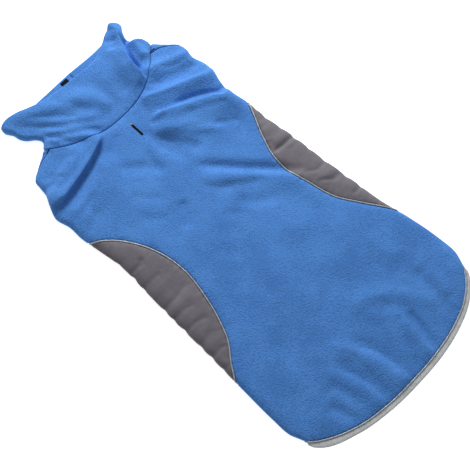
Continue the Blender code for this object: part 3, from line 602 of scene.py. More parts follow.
def seam_relief(x, y):
    """The dip and the small waves that each seam gives the cloth beside it."""
    lift = np.zeros(x.shape)
    for line in SEAM_LINES:
        near = around(line, 3 * PUCKER_REACH, x, y)
        if not near.any():
            continue
        aside, along = beside(line, x[near], y[near])
        run = along * run_of(line)[-1]
        ends = ease(along * SEAM_ENDS) * ease((1 - along) * SEAM_ENDS)
        waves = sum(np.sin(2 * np.pi * run / wave + i) for i, wave in enumerate(PUCKER_WAVES)) / 2
        lift[near] -= SEAM_DIP * np.exp(-((aside / SEAM_REACH) ** 2)) * ends
        lift[near] += PUCKER * waves * np.exp(-((aside / PUCKER_REACH) ** 2)) * ends
    return lift


def top_height(x, y):
    """Height of the outer face where the cloth lies on top."""
    ys = [row.y for row in RISES]
    middle = through(ys, [row.middle for row in RISES], y)
    flank = through(ys, [row.flank for row in RISES], y)
    inside = half_width(x, y) - flank_radius(x, y) - np.abs(x)
    height = flank + (middle - flank) * ease(inside / CROWN_SPAN) + raised(FOLDS, x, y)
    height += raised(CREASES, x, y) + uneven(x, y) + seam_relief(x, y)
    carried = ease((y - BELLY_REACH[0]) / (BELLY_REACH[1] - BELLY_REACH[0]))
    least = LOWEST_ON_FLOOR + (LOWEST_ON_BELLY - LOWEST_ON_FLOOR) * carried
    over = height - least
    return least + (over + np.sqrt(over * over + SOFT_LEAST)) / 2


def under_height(x, y):
    """Height of the outer face where the cloth lies underneath, just off the floor in places."""
    lift = raised(UNDER_CREASES, x, y) + UNDER_SHARE * uneven(x + UNDER_SLICE, y)
    return np.maximum(lift, 0.0)


def lay(p, q, depth=0.0):
    """Where the cloth lies: on top, round the flank, and on the floor below, this deep inside."""
    p, q = np.asarray(p, float), np.asarray(q, float)
    side = np.where(p < 0, -1.0, 1.0)
    edge = half_width(p, q)
    past = np.abs(p) - edge
    radius = flank_radius(p, q)
    begin = edge - radius
    shown = side * np.minimum(np.abs(p), begin)
    top = top_height(shown, q)
    share = np.clip(past / radius, -1, 1)
    angle = np.pi / 2 * np.sign(share) * np.abs(share) ** TURN_SHAPE
    reach = np.maximum(radius - depth, LEAST_TURN)
    rise = np.maximum(top / 2 - depth, LEAST_TURN)
    across = np.where(past < -radius, np.abs(p), begin + reach * np.cos(angle))
    across = np.where(past > radius, edge - past, across)
    height = top / 2 - rise * np.sin(angle)
    height = np.where(past < -radius, top - depth, height)
    height = np.where(past > radius, depth, height)
    height += under_height(side * across, q) * np.clip(past / radius, 0, 1)
    lean = leaning(shown, q) * ease((-radius - past) / LEAN_EASE)
    return np.stack([side * across + lean[0], q + lean[1], height], axis=-1)


def turned(points):
    """Plan points from above as seen from below, or back again."""
    points = np.asarray(points, float)
    across = 2 * half_width(points[:, 0], points[:, 1]) - np.abs(points[:, 0])
    return np.stack([np.sign(points[:, 0]) * across, points[:, 1]], axis=1)


def traced(points, spacing):
    """Points along a smooth curve through those given, closer where the flank turns."""
    points = np.asarray(points, float)
    run = run_of(points)
    fine = np.linspace(0, run[-1], int(run[-1] * CURVE_STEPS) + 2)
    curve = np.stack([through(run, points[:, 0], fine), through(run, points[:, 1], fine)], axis=1)
    past, radius = from_flank(curve)
    cost = np.linalg.norm(np.diff(curve, axis=0), axis=1) / spacing
    turn = np.abs(np.diff(np.clip(past / radius, -1, 1))) * TURN_STEPS
    length = np.concatenate([[0], np.cumsum(np.maximum(cost, turn))])
    wanted = np.linspace(0, length[-1], max(2, int(np.ceil(length[-1])) + 1))
    return read_at(curve, length, wanted)


def leg_arc(side, first, last, spacing):
    """Part of a leg opening's edge, from below: 0 degrees is its outer side and 90 its front."""
    hole = LEG_OPENINGS[side]
    out = -1 if side == "left" else 1
    length = abs(last - first) / 360 * 2 * np.pi * hole.half_y
    count = max(LEG_ARC_POINTS, int(length / spacing))
    angle = np.radians(np.linspace(first, last, count))
    x = hole.x + out * hole.half_x * np.cos(angle)
    return np.stack([x, hole.y + hole.half_y * np.sin(angle)], axis=1)


def area_of(outline):
    """The area inside, above 0 where the outline runs anticlockwise."""
    x, y = outline[:, 0], outline[:, 1]
    return (x * np.roll(y, -1) - y * np.roll(x, -1)).sum() / 2


def loop(*edges):
    """One closed outline from edges given as (points, inset), each set back from its seam."""
    points, insets = [], []
    for line, inset in edges:
        points.extend(line[:-1])
        insets.extend([inset] * (len(line) - 1))
    points, insets = np.array(points), np.array(insets)
    ahead = np.roll(points, -1, axis=0) - points
    normal = np.stack([-ahead[:, 1], ahead[:, 0]], axis=1) * np.sign(area_of(points))
    normal /= np.linalg.norm(normal, axis=1, keepdims=True)
    moved = []
    for i, point in enumerate(points):
        before, after = normal[i - 1], normal[i]
        corner = before[0] * after[1] - before[1] * after[0]
        if abs(corner) < CORNER:
            mean = (before + after) / np.linalg.norm(before + after)
            moved.append(point + mean * (insets[i - 1] + insets[i]) / 2)
        else:
            shift = np.linalg.solve([before, after], [insets[i - 1], insets[i]])
            moved.append(point + shift)
    return np.array(moved)


def inside_of(points, outline):
    """Which points lie inside the outline, and how far each is from it."""
    x, y = points[:, 0], points[:, 1]
    inside = np.zeros(len(points), bool)
    nearest = np.full(len(points), np.inf)
    for (ax, ay), (bx, by) in zip(outline, np.roll(outline, -1, axis=0)):
        crosses = (ay > y) != (by > y)
        with np.errstate(divide="ignore", invalid="ignore"):
            inside ^= crosses & (x < (bx - ax) * (y - ay) / (by - ay) + ax)
        dx, dy = bx - ax, by - ay
        t = np.clip(((x - ax) * dx + (y - ay) * dy) / (dx * dx + dy * dy), 0, 1)
        nearest = np.minimum(nearest, np.hypot(x - ax - t * dx, y - ay - t * dy))
    return inside, nearest


def clear_inside(points, outline, holes, margin):
    """Which points lie inside the outline, this far from it and from its holes."""
    inside, nearest = inside_of(points, outline)
    for hole in holes:
        within, near = inside_of(points, hole)
        inside &= ~within
        nearest = np.minimum(nearest, near)
    return inside & (nearest > margin)


SEAM_LINES = [  # those that dip and pucker the cloth beside them
    traced(points, PUCKER_TRACE)
    for points in (*FLANK_SEAMS.values(), *SHOULDER_SEAMS.values(), NECK_SEAM, HEM)
]


def stepped(line, spacing):
    """Points at even steps along a line."""
    run = run_of(line)
    return read_at(line, run, np.linspace(0, run[-1], int(run[-1] / spacing) + 1))


def flank_columns(start, end, row, columns):
    """Lines of points that follow both flanks' edges round their turn."""
    rows = np.arange(start, end, row)
    lines = []
    for side in (-1.0, 1.0):
        edge, radius = half_width(side, rows), flank_radius(side, rows)
        lines.extend(np.stack([side * (edge + radius * share), rows], axis=1) for share in columns)
    return lines


def crease_columns():
    """Lines of points that follow each fold that leans, close together on its steep side."""
    columns = []
    for fold in FOLDS:
        if fold.over:
            line = stepped(spine(fold), CREASE_STEP)
            steep = -1 if fold.left < fold.right else 1
            for share in CREASE_FALLS:
                column = beyond(line, steep * min(fold.left, fold.right) * share)
                past, radius = from_flank(column)
                columns.append(column[past + radius < -CREASE_CLEAR])
    return columns


def spread(low, high, spacing):
    """Points in even triangles over a box."""
    rows = np.arange(low[1], high[1], spacing * ROW_RISE)
    across = np.arange(low[0] - spacing, high[0] + spacing, spacing)
    x = across[None, :] + np.where(np.arange(len(rows)) % 2, spacing / 2, 0.0)[:, None]
    y = np.repeat(rows[:, None], len(across), axis=1)
    return np.stack([x.ravel(), y.ravel()], axis=1)


def lattice(outline, holes, top, under, columns, below):
    """Points to fill an outline, and the pairs that an edge must join along the lines given."""
    low, high = outline.min(axis=0), outline.max(axis=0)
    parts = []
    for spacing, shown in ((top, True), (under, False)):
        points = spread(low, high, spacing)
        past, radius = from_flank(points)
        wanted = (past < 0) == (shown != below)
        points = points[wanted & (np.abs(past) > radius + TURN_CLEAR * spacing)]
        parts.append(points[clear_inside(points, outline, holes, EDGE_CLEAR * spacing)])
    points = np.concatenate(parts)
    taken = np.concatenate(columns)
    tree = kdtree.KDTree(len(taken))
    for i, (x, y) in enumerate(taken):
        tree.insert((x, y, 0.0), i)
    tree.balance()
    points = points[[tree.find((x, y, 0.0))[2] > EDGE_CLEAR * TOP_MESH for x, y in points]]
    pairs = []
    for column in columns:
        if len(column) < 2:
            continue
        kept = clear_inside(column, outline, holes, COLUMN_CLEAR)
        between = clear_inside((column[1:] + column[:-1]) / 2, outline, holes, COLUMN_CLEAR / 2)
        place = len(points) - 1 + np.cumsum(kept)
        joined = np.nonzero(kept[1:] & kept[:-1] & between)[0]
        pairs.extend((place[i], place[i + 1]) for i in joined)
        points = np.concatenate([points, column[kept]])
    return points, pairs


def meshed(outline, holes, points, pairs):
    """Triangles between the outline, its holes and the points inside: (plan points, faces)."""
    rings, first = [], 0
    for ring in (outline, *holes):
        rings.append(list(range(first, first + len(ring))))
        first += len(ring)
    flat = [Vector(point) for point in np.concatenate([outline, *holes, points])]
    edges = [(int(a) + first, int(b) + first) for a, b in pairs]
    kept = INSIDE_LESS_HOLES if holes else INSIDE
    found = delaunay_2d_cdt(flat, edges, rings, kept, SAME_POINT)
    return np.array([tuple(point) for point in found[0]]), [tuple(face) for face in found[2]]


def banded(rings):
    """Points and faces of the bands between rings that have as many points each."""
    count = len(rings[0])
    faces = []
    for i in range(len(rings) - 1):
        for j in range(count):
            k = (j + 1) % count
            faces.append((i * count + j, i * count + k, (i + 1) * count + k, (i + 1) * count + j))
    return np.concatenate(rings), faces


def skin(outlines, holes, thickness, inner, below, creased):
    """One face of a cloth, with its share of the rounded rim: (plan points, depths, faces)."""
    half = thickness / 2
    depths = [half * (1 - np.sqrt(1 - (1 - step) ** 2)) for step in RIM]
    rims = [banded(rings) for rings in (outlines, *holes)]
    row, shares_across = (INNER_ROW, INNER_COLUMNS) if inner else (FLANK_ROW, FLANK_COLUMNS)
    low, high = outlines[-1].min(axis=0), outlines[-1].max(axis=0)
    columns = flank_columns(low[1], high[1], row, shares_across)
    if creased and not inner:
        columns += crease_columns()
    top, under = (INNER_MESH, INNER_MESH) if inner else (TOP_MESH, UNDER_MESH)
    within = [rings[-1] for rings in holes]
    points, pairs = lattice(outlines[-1], within, top, under, columns, below)
    plan, faces = meshed(outlines[-1], within, points, pairs)
    plans, deep = [plan], [np.zeros(len(plan))]
    first = len(plan)
    for rim, quads in rims:
        faces.extend(tuple(first + i for i in quad) for quad in quads)
        plans.append(rim)
        deep.append(np.repeat(depths, len(rim) // len(depths)))
        first += len(rim)
    deep = np.concatenate(deep)
    return np.concatenate(plans), thickness - deep if inner else deep, faces


def close_slits(work):
    """Shut the slits that a cramped corner leaves between a face of cloth and its rim."""
    spare = [edge for edge in work.edges if edge.is_wire]
    bmesh.ops.delete(work, geom=spare, context="EDGES")
    for fill in (bmesh.ops.holes_fill, bmesh.ops.edgeloop_fill):
        fill(work, edges=[edge for edge in work.edges if edge.is_boundary])


def finished(name, points, faces, surface, nodes):
    """A shaded object that rides with the part and stands for these solids."""
    mesh = bpy.data.meshes.new(name)
    mesh.from_pydata([tuple(point) for point in points * MM], [], faces)
    work = bmesh.new()
    work.from_mesh(mesh)
    bmesh.ops.remove_doubles(work, verts=work.verts, dist=WELD * MM)
    close_slits(work)
    bmesh.ops.recalc_face_normals(work, faces=work.faces)
    work.to_mesh(mesh)
    work.free()
    mesh.shade_smooth()
    mesh.materials.append(surface)
    made = bpy.data.objects.new(name, mesh)
    bpy.context.scene.collection.objects.link(made)
    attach(made, "root")
    if nodes:
        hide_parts(*nodes)
    return made


def cloth(name, edges, thickness, surface, nodes, holes=(), below=False):
    """A cut piece of cloth with round edges: (object, flat width and length, flat area)."""
    half = thickness / 2
    outlines = [loop(*((line, inset + step * half) for line, inset in edges)) for step in RIM]
    hole_rings = [[hole(step * half) for step in RIM] for hole in holes]
    points, faces = [], []
    for inner in (False, True):
        plan, depth, found = skin(outlines, hole_rings, thickness, inner, below, not below)
        if below:
            plan = turned(plan)
        first = sum(len(part) for part in points)
        faces.extend(tuple(first + i for i in face) for face in found)
        points.append(lay(plan[:, 0], plan[:, 1], depth))
    made = finished(name, np.concatenate(points), faces, surface, nodes)
    cut = outlines[0]
    size = (cut.max(axis=0) - cut.min(axis=0)) * MM
    area = (abs(area_of(cut)) - sum(abs(area_of(rings[0])) for rings in hole_rings)) * MM * MM
    return made, tuple(float(side) for side in size), float(area)


def swept(sections):
    """Points and faces of a closed profile carried through sections, with its ends shut."""
    stations, count = sections.shape[:2]
    _, faces = banded(list(sections))
    faces.append(tuple(reversed(range(count))))
    faces.append(tuple(range((stations - 1) * count, stations * count)))
    return sections.reshape(-1, 3), faces


def tube(path, across, radius, sides=THREAD_SIDES):
    """A round thread along a path, with the direction across it that it keeps."""
    ahead = np.gradient(path, axis=0)
    ahead /= np.linalg.norm(ahead, axis=1, keepdims=True)
    out = np.cross(ahead, across)
    out /= np.linalg.norm(out, axis=1, keepdims=True)
    side = np.cross(out, ahead)
    angle = np.linspace(0, 2 * np.pi, sides, endpoint=False)
    turn, rise = np.cos(angle)[None, :, None], np.sin(angle)[None, :, None]
    return swept(path[:, None] + radius * (turn * side[:, None] + rise * out[:, None]))


def together(parts):
    """Several meshes as one."""
    points, faces, first = [], [], 0
    for part, found in parts:
        points.append(part)
        faces.extend(tuple(first + i for i in face) for face in found)
        first += len(part)
    return np.concatenate(points), faces


def cord_mesh(line, diameter, sunk):
    """A tube along a line of the plan, its middle sunk under the cloth's face."""
    past, radius = from_flank(line)
    share = past / radius
    depth = sunk + max(0.0, diameter / 2 + CORD_OFF_FLOOR - sunk) * ease(share)
    middle = lay(line[:, 0], line[:, 1], depth)
    up = np.stack([np.zeros(len(line)), np.zeros(len(line)), np.ones(len(line))], axis=1)
    turn = np.clip(share, -1, 1)[:, None] * np.pi / 2
    out = np.stack([np.sign(line[:, 0]), np.zeros(len(line)), np.zeros(len(line))], axis=1)
    normal = -np.sin(turn) * up + np.cos(turn) * out
    ahead = np.gradient(middle, axis=0)
    return tube(middle, np.cross(normal, ahead), diameter / 2, CORD_SIDES)


def beyond(line, distance):
    """The line moved to its right, in the plan."""
    ahead = np.gradient(line, axis=0)
    right = np.stack([ahead[:, 1], -ahead[:, 0]], axis=1)
    return line + distance * right / np.linalg.norm(right, axis=1, keepdims=True)


def shortened(line, by):
    """The line with this much taken off each end."""
    line = line.copy()
    for end, inner in ((0, 1), (-1, -2)):
        along = line[inner] - line[end]
        line[end] += along * by / np.linalg.norm(along)
    return line


def slit_outline(out=0.0):
    """The leash slit's outline, with round ends, or one this far out from it."""
    length, width = SLIT[0] + 2 * out, SLIT[1] + 2 * out
    angle = np.linspace(-np.pi / 2, np.pi / 2, SLIT_POINTS)
    end = np.stack([np.cos(angle), np.sin(angle)], axis=1) * width / 2
    upper = np.stack([-end[:, 1], end[:, 0] + (length - width) / 2], axis=1)
    return np.concatenate([upper, -upper]) + np.array(SLIT_AT)


def seams():
    """Every seam and hem, traced once, so that the pieces on both sides share it."""
    lines = {}
    for side in ("left", "right"):
        lines["flank", side] = traced(FLANK_SEAMS[side], TRACE)
        lines["shoulder", side] = traced(SHOULDER_SEAMS[side], TRACE)
    lines["neck"] = traced(NECK_SEAM, TRACE)
    lines["neck below"] = traced(NECK_BELOW, TRACE_BELOW)
    lines["hem"] = traced(HEM, TRACE)
    return lines


def shoulder_ends(neck):
    """Where the neck seam meets the left and the right shoulder seam: places in its points."""
    starts = [SHOULDER_SEAMS[side][0] for side in ("left", "right")]
    return [int(np.argmin(np.linalg.norm(neck - np.array(start), axis=1))) for start in starts]


def bridge_seam():
    """The seam between the leg openings, from left to right, seen from below."""
    left, right = leg_arc("left", -180, -180, 1.0)[0], leg_arc("right", -180, -180, 1.0)[0]
    return left + (right - left) * np.linspace(0, 1, BRIDGE_POINTS)[:, None]


def halved(line):
    """A line below, cut at the middle line into its right and left half, in the plan."""
    middle = int(np.argmin(np.abs(line[:, 0])))
    line[middle, 0] = 0.0
    right, left = turned(line[: middle + 1]), turned(line[middle:])
    right[-1, 0] = 2 * half_width(1, line[middle, 1])
    left[0, 0] = -2 * half_width(-1, line[middle, 1])
    return right, left


def back_cloth(lines):
    neck = lines["neck"]
    left, right = shoulder_ends(neck)
    edges = (
        (lines["hem"], 0.0),
        (lines["flank", "right"][::-1], PIPED_SEAM),
        (turned(leg_arc("right", -LEG_SEAM_ANGLE, LEG_SEAM_ANGLE, TRACE)), 0.0),
        (lines["shoulder", "right"][::-1], PLAIN_SEAM),
        (neck[left : right + 1][::-1], PLAIN_SEAM),
        (lines["shoulder", "left"], PLAIN_SEAM),
        (turned(leg_arc("left", LEG_SEAM_ANGLE, -LEG_SEAM_ANGLE, TRACE)), 0.0),
        (lines["flank", "left"], PIPED_SEAM),
    )
    slits = [slit_outline]
    return cloth("back_cloth", edges, FLEECE, fleece(), ["back_panel"], slits)


def belly_cloth(lines):
    edges = (
        (turned(lines["flank", "right"]), PIPED_SEAM),
        (traced(BELLY_HEM, TRACE_BELOW), 0.0),
        (turned(lines["flank", "left"])[::-1], PIPED_SEAM),
        (leg_arc("left", -LEG_SEAM_ANGLE, -180, TRACE_BELOW), 0.0),
        (bridge_seam(), PLAIN_SEAM),
        (leg_arc("right", -180, -LEG_SEAM_ANGLE, TRACE_BELOW), 0.0),
    )
    name, nodes = "grey_softshell", ["belly_panel"]
    return cloth("belly_cloth", edges, SOFTSHELL, softshell(), nodes, below=True)


def chest_cloth(lines):
    neck = lines["neck"]
    left, right = shoulder_ends(neck)
    edges = (
        (leg_arc("left", LEG_SEAM_ANGLE, 180, TRACE_BELOW), 0.0),
        (bridge_seam(), PLAIN_SEAM),
        (leg_arc("right", 180, LEG_SEAM_ANGLE, TRACE_BELOW), 0.0),
        (turned(lines["shoulder", "right"])[::-1], PLAIN_SEAM),
        (turned(neck[right:]), PLAIN_SEAM),
        (lines["neck below"], PLAIN_SEAM),
        (turned(neck[: left + 1]), PLAIN_SEAM),
        (turned(lines["shoulder", "left"]), PLAIN_SEAM),
    )
    name, nodes = "blue_fleece", ["chest_panel"]
    return cloth("chest_cloth", edges, FLEECE, fleece(), nodes, below=True)


def collar_cloth(lines):
    """One strip sewn into a tube: its ends meet under the middle, in a plain seam."""
    right_low, left_low = halved(lines["neck below"])
    right_high, left_high = halved(traced(COLLAR_TOP_BELOW, TRACE_BELOW))
    rise = np.linspace(right_low[-1, 1], right_high[-1, 1], COLLAR_END_POINTS)
    right_end, left_end = (
        np.stack([side * 2 * half_width(side, rise), rise], axis=1) for side in (1, -1)
    )
    edges = (
        (left_low, PLAIN_SEAM),
        (lines["neck"], PLAIN_SEAM),
        (right_low, PLAIN_SEAM),
        (right_end, END_SEAM),
        (right_high[::-1], 0.0),
        (traced(COLLAR_TOP, TRACE)[::-1], 0.0),
        (left_high[::-1], 0.0),
        (left_end[::-1], END_SEAM),
    )
    return cloth("collar_cloth", edges, FLEECE, fleece(), ["collar"])


def flank_cord(side, lines):
    line = shortened(lines["flank", side], PIPING_SHORT)
    points, faces = cord_mesh(line, FLANK_PIPING, PIPING_SUNK)
    nodes = [f"flank_piping_{side}"]
    name = f"flank_cord_{side}"
    return finished(name, points, faces, piping(), nodes)


def hem_cord(lines):
    line = beyond(lines["hem"], PIPING_CLOSE + HEM_PIPING / 2)[1:-1]
    points, faces = cord_mesh(line, HEM_PIPING, HEM_PIPING_SUNK)
    return finished("hem_cord", points, faces, piping(), ["hem_piping"])


def hem_tape(lines):
    """The ribbed band behind the hem's piping."""
    line = lines["hem"]
    width = through([row.p for row in BAND_WIDTHS], [row.width for row in BAND_WIDTHS], line[:, 0])
    inner, outer = TAPE_TUCK * HEM_PIPING, 2 * HEM_APART + HEM_PIPING + width
    across = np.linspace(0, 1, TAPE_RIBS * TAPE_RIB_POINTS + 1)
    ribs = TAPE_RIB * (np.cos(2 * np.pi * TAPE_RIBS * across) - 1) / 2
    ring = np.concatenate([across, across[::-1]])
    depths = np.concatenate([TAPE_SUNK - ribs, np.full(len(across), TAPE_SUNK + HEM_BAND_THICK)])
    edge = [0, len(across) - 1, len(across), len(ring) - 1]
    depths[edge] = TAPE_SUNK + HEM_BAND_THICK / 2
    rows = []
    for share, depth in zip(ring, depths):
        place = beyond(line, (inner + (outer - inner) * share)[:, None])[1:-1]
        rows.append(lay(place[:, 0], place[:, 1], depth))
    points, faces = swept(np.stack(rows, axis=1))
    return finished("hem_tape", points, faces, tape(), ["hem_band"])


def dashes(line, offset, length, gap, radius):
    """Stitches along a line of the plan: the mesh of each thread that shows."""
    run = run_of(line)
    aside = beyond(line, offset)
    made = []
    for start in np.arange(gap, run[-1] - length - gap, length + gap):
        places = np.linspace(start, start + length, len(STITCH_DEPTHS))
        plan = read_at(aside, run, places)
        path = lay(plan[:, 0], plan[:, 1], np.array(STITCH_DEPTHS) * radius)
        ahead = path[-1] - path[0]
        across = np.array([-ahead[1], ahead[0], 0.0])
        made.append(tube(path, across / np.linalg.norm(across), radius))
    return made


def seam_stitches(lines):
    """Top stitches beside the shoulders' seams, where those show."""
    made = []
    for side, out in (("left", 1), ("right", -1)):
        line = lines["shoulder", side]
        shown = from_flank(line)[0] < -SHOULDER_STITCH_CLEAR
        made += dashes(line[shown], out * SEAM_STITCH.offset, *SEAM_STITCH[1:])
    points, faces = together(made)
    return finished("seam_stitches", points, faces, thread("tan_thread"), [])


def tape_stitches(lines):
    line = beyond(lines["hem"], 2 * HEM_APART + HEM_PIPING)[TAPE_STITCH_ENDS:-TAPE_STITCH_ENDS]
    shown = np.abs(line[:, 0]) < TAPE_STITCH_REACH
    points, faces = together(dashes(line[shown], *TAPE_STITCH))
    return finished("tape_stitches", points, faces, thread("pale_thread"), [])


def slit_stitching():
    """Black whip stitches over the slit's edge."""
    outline = slit_outline()
    edge = stepped(np.concatenate([outline, outline[:1]]), WHIP.pitch)[:-1]
    ahead = np.roll(edge, -1, axis=0) - np.roll(edge, 1, axis=0)
    out = np.stack([ahead[:, 1], -ahead[:, 0]], axis=1)
    out /= np.linalg.norm(out, axis=1, keepdims=True)
    middle = np.array(SLIT_AT)
    out *= np.sign(((edge - middle) * out).sum(axis=1))[:, None]
    made = []
    for place, away in zip(edge, out):
        plan = place + away * np.array(WHIP.offsets)[:, None]
        path = lay(plan[:, 0], plan[:, 1], np.array(WHIP.depths))
        made.append(tube(path, np.array([-away[1], away[0], 0.0]), WHIP.radius))
    points, faces = together(made)
    name, nodes = "slit_stitching", ["leash_slit_trim"]
    return finished(name, points, faces, thread("black_thread"), nodes)


def slit_bar():
    """A short bar of tan stitches across the slit's front end."""
    made = []
    count = len(BAR.depths)
    for step in range(BAR.count):
        q = SLIT_AT[1] + SLIT[0] / 2 + BAR.start + step * BAR.pitch
        p = SLIT_AT[0] + np.linspace(-1, 1, count) * BAR.half_width
        path = lay(p, np.full(count, q), np.array(BAR.depths))
        made.append(tube(path, np.array([0.0, 1.0, 0.0]), BAR.radius))
    points, faces = together(made)
    return finished("slit_bar", points, faces, thread("tan_thread"), [])


def tag():
    """A blank woven tag, folded at its free end, that lies inside the collar's mouth."""
    width, length, thick = TAG
    across = np.linspace(-0.5, 0.5, TAG_POINTS_ACROSS)
    sections = []
    for share in np.linspace(-0.5, 0.5, TAG_POINTS_ALONG):
        low = FLEECE + SEAM_GAP + TAG_BOW * (0.25 - share * share) * 4
        high = low + thick * (1 + TAG_FOLD * np.exp(-(((share - 0.5) / TAG_FOLD_REACH) ** 2)))
        upper = [(a * width, share * length, high) for a in across[1:-1]]
        lower = [(a * width, share * length, low) for a in across[::-1]]
        sections.append(upper + lower)
    points, faces = swept(np.array(sections) + np.array([*TAG_AT, 0.0]))
    return finished("tag", points, faces, woven_tag(), ["collar_tag"])


def node(tree, kind, links=(), **settings):
    """A new node: settings are its own properties or its inputs, by name with _ for a space."""
    made = tree.nodes.new("ShaderNode" + kind)
    for key, value in settings.items():
        if hasattr(made, key):
            setattr(made, key, value)
        else:
            made.inputs[key.replace("_", " ")].default_value = value
    for target, source in links:
        tree.links.new(source, made.inputs[target])
    return made


def grain(tree, place, size, detail=2.0, rough=0.55):
    """Noise with lumps of this size, in millimetres, from 0 to 1."""
    links = [("Vector", place)]
    made = node(tree, "TexNoise", links, Scale=1 / (size * MM), Detail=detail, Roughness=rough)
    return made.outputs["Fac"]


def cells(tree, place, size):
    """Rounded cells of this size, in millimetres: their distance from the middle."""
    links = [("Vector", place)]
    scale = 1 / (size * MM)
    made = node(tree, "TexVoronoi", links, feature="SMOOTH_F1", Scale=scale, Smoothness=0.5)
    return made.outputs["Distance"]


def threads_across(tree, place, size):
    """Rows of threads of this size, in millimetres."""
    links = [("Vector", place)]
    return node(tree, "TexWave", links, Scale=1 / (size * MM), Distortion=0.6).outputs["Fac"]


def added(tree, first, second, share):
    """first plus share of second."""
    made = node(tree, "Math", [(0, second), (2, first)], operation="MULTIPLY_ADD")
    made.inputs[1].default_value = share
    return made.outputs[0]


def toned(tree, value, low, high, dark, light):
    """A colour from dark to light as the value goes from low to high."""
    ramp = node(tree, "ValToRGB", [("Fac", value)])
    first, last = ramp.color_ramp.elements
    first.position, first.color = low, (*dark, 1.0)
    last.position, last.color = high, (*light, 1.0)
    return ramp.outputs["Color"]


def material(name, colour, pattern=None, **sockets):
    """The material of this name, made once. Its sockets are even, named with _ for a space.

    A pattern gives the colour all over, and the bumps one on another: each is (height, strength,
    distance in millimetres).
    """
    made = bpy.data.materials.get(name)
    if made:
        return made
    made = bpy.data.materials.new(name)
    made.use_nodes = True
    tree = made.node_tree
    shader = tree.nodes["Principled BSDF"]
    shader.inputs["Base Color"].default_value = (*colour, 1.0)
    for socket, value in sockets.items():
        shader.inputs[socket.replace("_", " ")].default_value = value
    if pattern:
        toned_by, bumps = pattern(tree, node(tree, "TexCoord").outputs["Object"])
        tree.links.new(toned_by, shader.inputs["Base Color"])
        normal = None
        for height, strength, distance in bumps:
            links = [("Height", height)] + ([("Normal", normal)] if normal else [])
            bump = node(tree, "Bump", links, Strength=strength, Distance=distance * MM)
            normal = bump.outputs["Normal"]
        tree.links.new(normal, shader.inputs["Normal"])
    return made


def fleece():
    """Brushed fleece: a pebbled nap with a soft pale bloom where it is seen aslant."""

    def pattern(tree, place):
        pebbles = cells(tree, place, 2.0)
        lumps = grain(tree, place, 1.9, 2.0)
        fuzz = grain(tree, place, 0.9, 3.0, 0.7)
        tone = added(tree, grain(tree, place, 42.0, 2.0), pebbles, -0.6)
        tone = added(tree, tone, lumps, 0.75)
        tone = added(tree, tone, fuzz, 0.45)
        colour = toned(tree, tone, 0.62, 1.12, *FLEECE_BLUE[1:])
        return colour, ((lumps, 0.8, 0.7), (pebbles, 0.8, -0.6), (fuzz, 0.8, 0.25))

    sheen = {"Sheen_Weight": 0.25, "Sheen_Roughness": 0.45, "Sheen_Tint": FLEECE_BLOOM}
    name, matt = "blue_fleece_nap", {"Roughness": 1.0, "Specular_IOR_Level": 0.15}
    return material(name, FLEECE_BLUE.mid, pattern, **matt, **sheen)


def softshell():
    """Close woven stretch cloth: a fine weave over small soft creases."""

    def pattern(tree, place):
        weave = grain(tree, place, 0.8, 2.0, 0.7)
        creased = grain(tree, place, 7.0, 2.0)
        tone = added(tree, grain(tree, place, 26.0, 3.0), weave, 0.5)
        colour = toned(tree, tone, 0.55, 0.95, *SOFTSHELL_GREY[1:])
        return colour, ((creased, 0.5, 0.8), (weave, 0.5, 0.12))

    name, sheen = "grey_softshell_weave", {"Sheen_Weight": 0.2, "Sheen_Roughness": 0.5}
    return material(name, SOFTSHELL_GREY.mid, pattern, Roughness=0.68, **sheen)


def piping():
    """Reflective piping: smooth, silvery cloth with a fine grain."""

    def pattern(tree, place):
        grit = grain(tree, place, 0.5, 2.0)
        tone = added(tree, grain(tree, place, 6.0, 2.0), grit, 0.4)
        return toned(tree, tone, 0.5, 0.9, *PIPING_SILVER[1:]), ((grit, 0.4, 0.08),)

    name = "reflective_piping_cloth"
    return material(name, PIPING_SILVER.mid, pattern, Roughness=0.42, Metallic=0.15)


def tape():
    """Ribbed woven tape."""

    def pattern(tree, place):
        weave = grain(tree, place, 0.6, 2.0)
        tone = added(tree, grain(tree, place, 9.0, 2.0), weave, 0.5)
        return toned(tree, tone, 0.55, 0.95, *TAPE_GREY[1:]), ((weave, 0.5, 0.1),)

    return material("hem_tape_weave", TAPE_GREY.mid, pattern, Roughness=0.55)


def thread(name):
    """Twisted sewing thread."""

    def pattern(tree, place):
        twist = grain(tree, place, 0.35, 2.0)
        dark, light = (
            tuple(share * part for part in THREADS[name]) for share in (THREAD_DARK, THREAD_LIGHT)
        )
        return toned(tree, twist, 0.3, 0.7, dark, light), ((twist, 0.6, 0.1),)

    return material(name, THREADS[name], pattern, Roughness=0.7, Sheen_Weight=0.15)


def woven_tag():
    """Close black satin weave, blank."""

    def pattern(tree, place):
        weave = threads_across(tree, place, 3.3)
        tone = added(tree, weave, grain(tree, place, 0.5, 2.0), 0.5)
        return toned(tree, tone, 0.2, 1.4, *TAG_BLACK[1:]), ((weave, 0.5, 0.12),)

    matt = {"Roughness": 0.85, "Specular_IOR_Level": 0.1}
    return material("black_tag_weave", TAG_BLACK.mid, pattern, **matt)


def pointed(thing, target):
    """Turns a light or camera to its target."""
    thing.rotation_euler = (Vector(target) - thing.location).to_track_quat("-Z", "Y").to_euler()


def area_light(name, place, size, energy):
    data = bpy.data.lights.new(name, "AREA")
    data.shape = "DISK"
    data.size, data.energy = size, energy
    made = bpy.data.objects.new(name, data)
    bpy.context.scene.collection.objects.link(made)
    made.location = place
    pointed(made, (0.0, 0.0, 0.0))


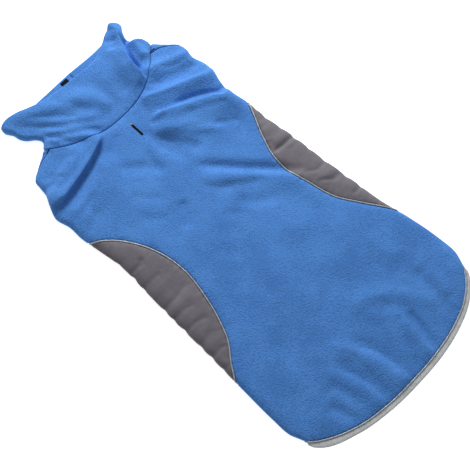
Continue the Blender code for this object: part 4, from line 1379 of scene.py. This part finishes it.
def floor():
    """A sheet of white paper under the coat, lit from below."""
    bpy.ops.mesh.primitive_plane_add(size=FLOOR_SIZE, location=(0.0, 0.0, -FLOOR_BELOW))
    made = bpy.context.object
    made.name = "floor"
    glow = {"Emission_Color": WHITE, "Emission_Strength": FLOOR_GLOW}
    made.data.materials.append(material("floor_paper", FLOOR_COLOUR, Roughness=0.9, **glow))


def studio():
    """The camera, a key light from beyond the collar's right side, a dim one above, the floor."""
    data = bpy.data.cameras.new("camera")
    data.lens, data.sensor_width = LENS, SENSOR
    camera = bpy.data.objects.new("camera", data)
    bpy.context.scene.collection.objects.link(camera)
    turn, rise = np.radians(CAMERA_AZIMUTH), np.radians(CAMERA_ELEVATION)
    level = np.cos(rise)
    away = Vector((np.sin(turn) * level, -np.cos(turn) * level, np.sin(rise)))
    camera.location = Vector(CAMERA_TARGET) + away * CAMERA_DISTANCE
    pointed(camera, CAMERA_TARGET)
    bpy.context.scene.camera = camera
    for light in LIGHTS:
        area_light(*light)
    world = bpy.data.worlds.new("world")
    world.use_nodes = True
    background = world.node_tree.nodes["Background"]
    background.inputs["Color"].default_value = WHITE
    background.inputs["Strength"].default_value = WORLD_LIGHT
    bpy.context.scene.world = world
    bpy.context.scene.view_settings.view_transform = "Standard"
    floor()


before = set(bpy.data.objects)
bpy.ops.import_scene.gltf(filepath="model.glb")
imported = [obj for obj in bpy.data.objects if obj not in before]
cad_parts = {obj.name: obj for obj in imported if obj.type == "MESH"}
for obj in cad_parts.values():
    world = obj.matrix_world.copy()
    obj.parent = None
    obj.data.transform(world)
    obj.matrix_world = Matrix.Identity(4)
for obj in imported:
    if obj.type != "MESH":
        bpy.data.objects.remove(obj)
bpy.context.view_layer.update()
lines = seams()
back, back_flat, back_area = back_cloth(lines)
belly, belly_flat, belly_area = belly_cloth(lines)
chest, chest_flat, chest_area = chest_cloth(lines)
collar, collar_flat, collar_area = collar_cloth(lines)
flank_cords = [flank_cord(side, lines) for side in ("left", "right")]
hem_trims = [hem_cord(lines), hem_tape(lines), tape_stitches(lines)]
slit_threads = [slit_stitching(), slit_bar()]
shoulder_thread = seam_stitches(lines)
collar_label = tag()
studio()
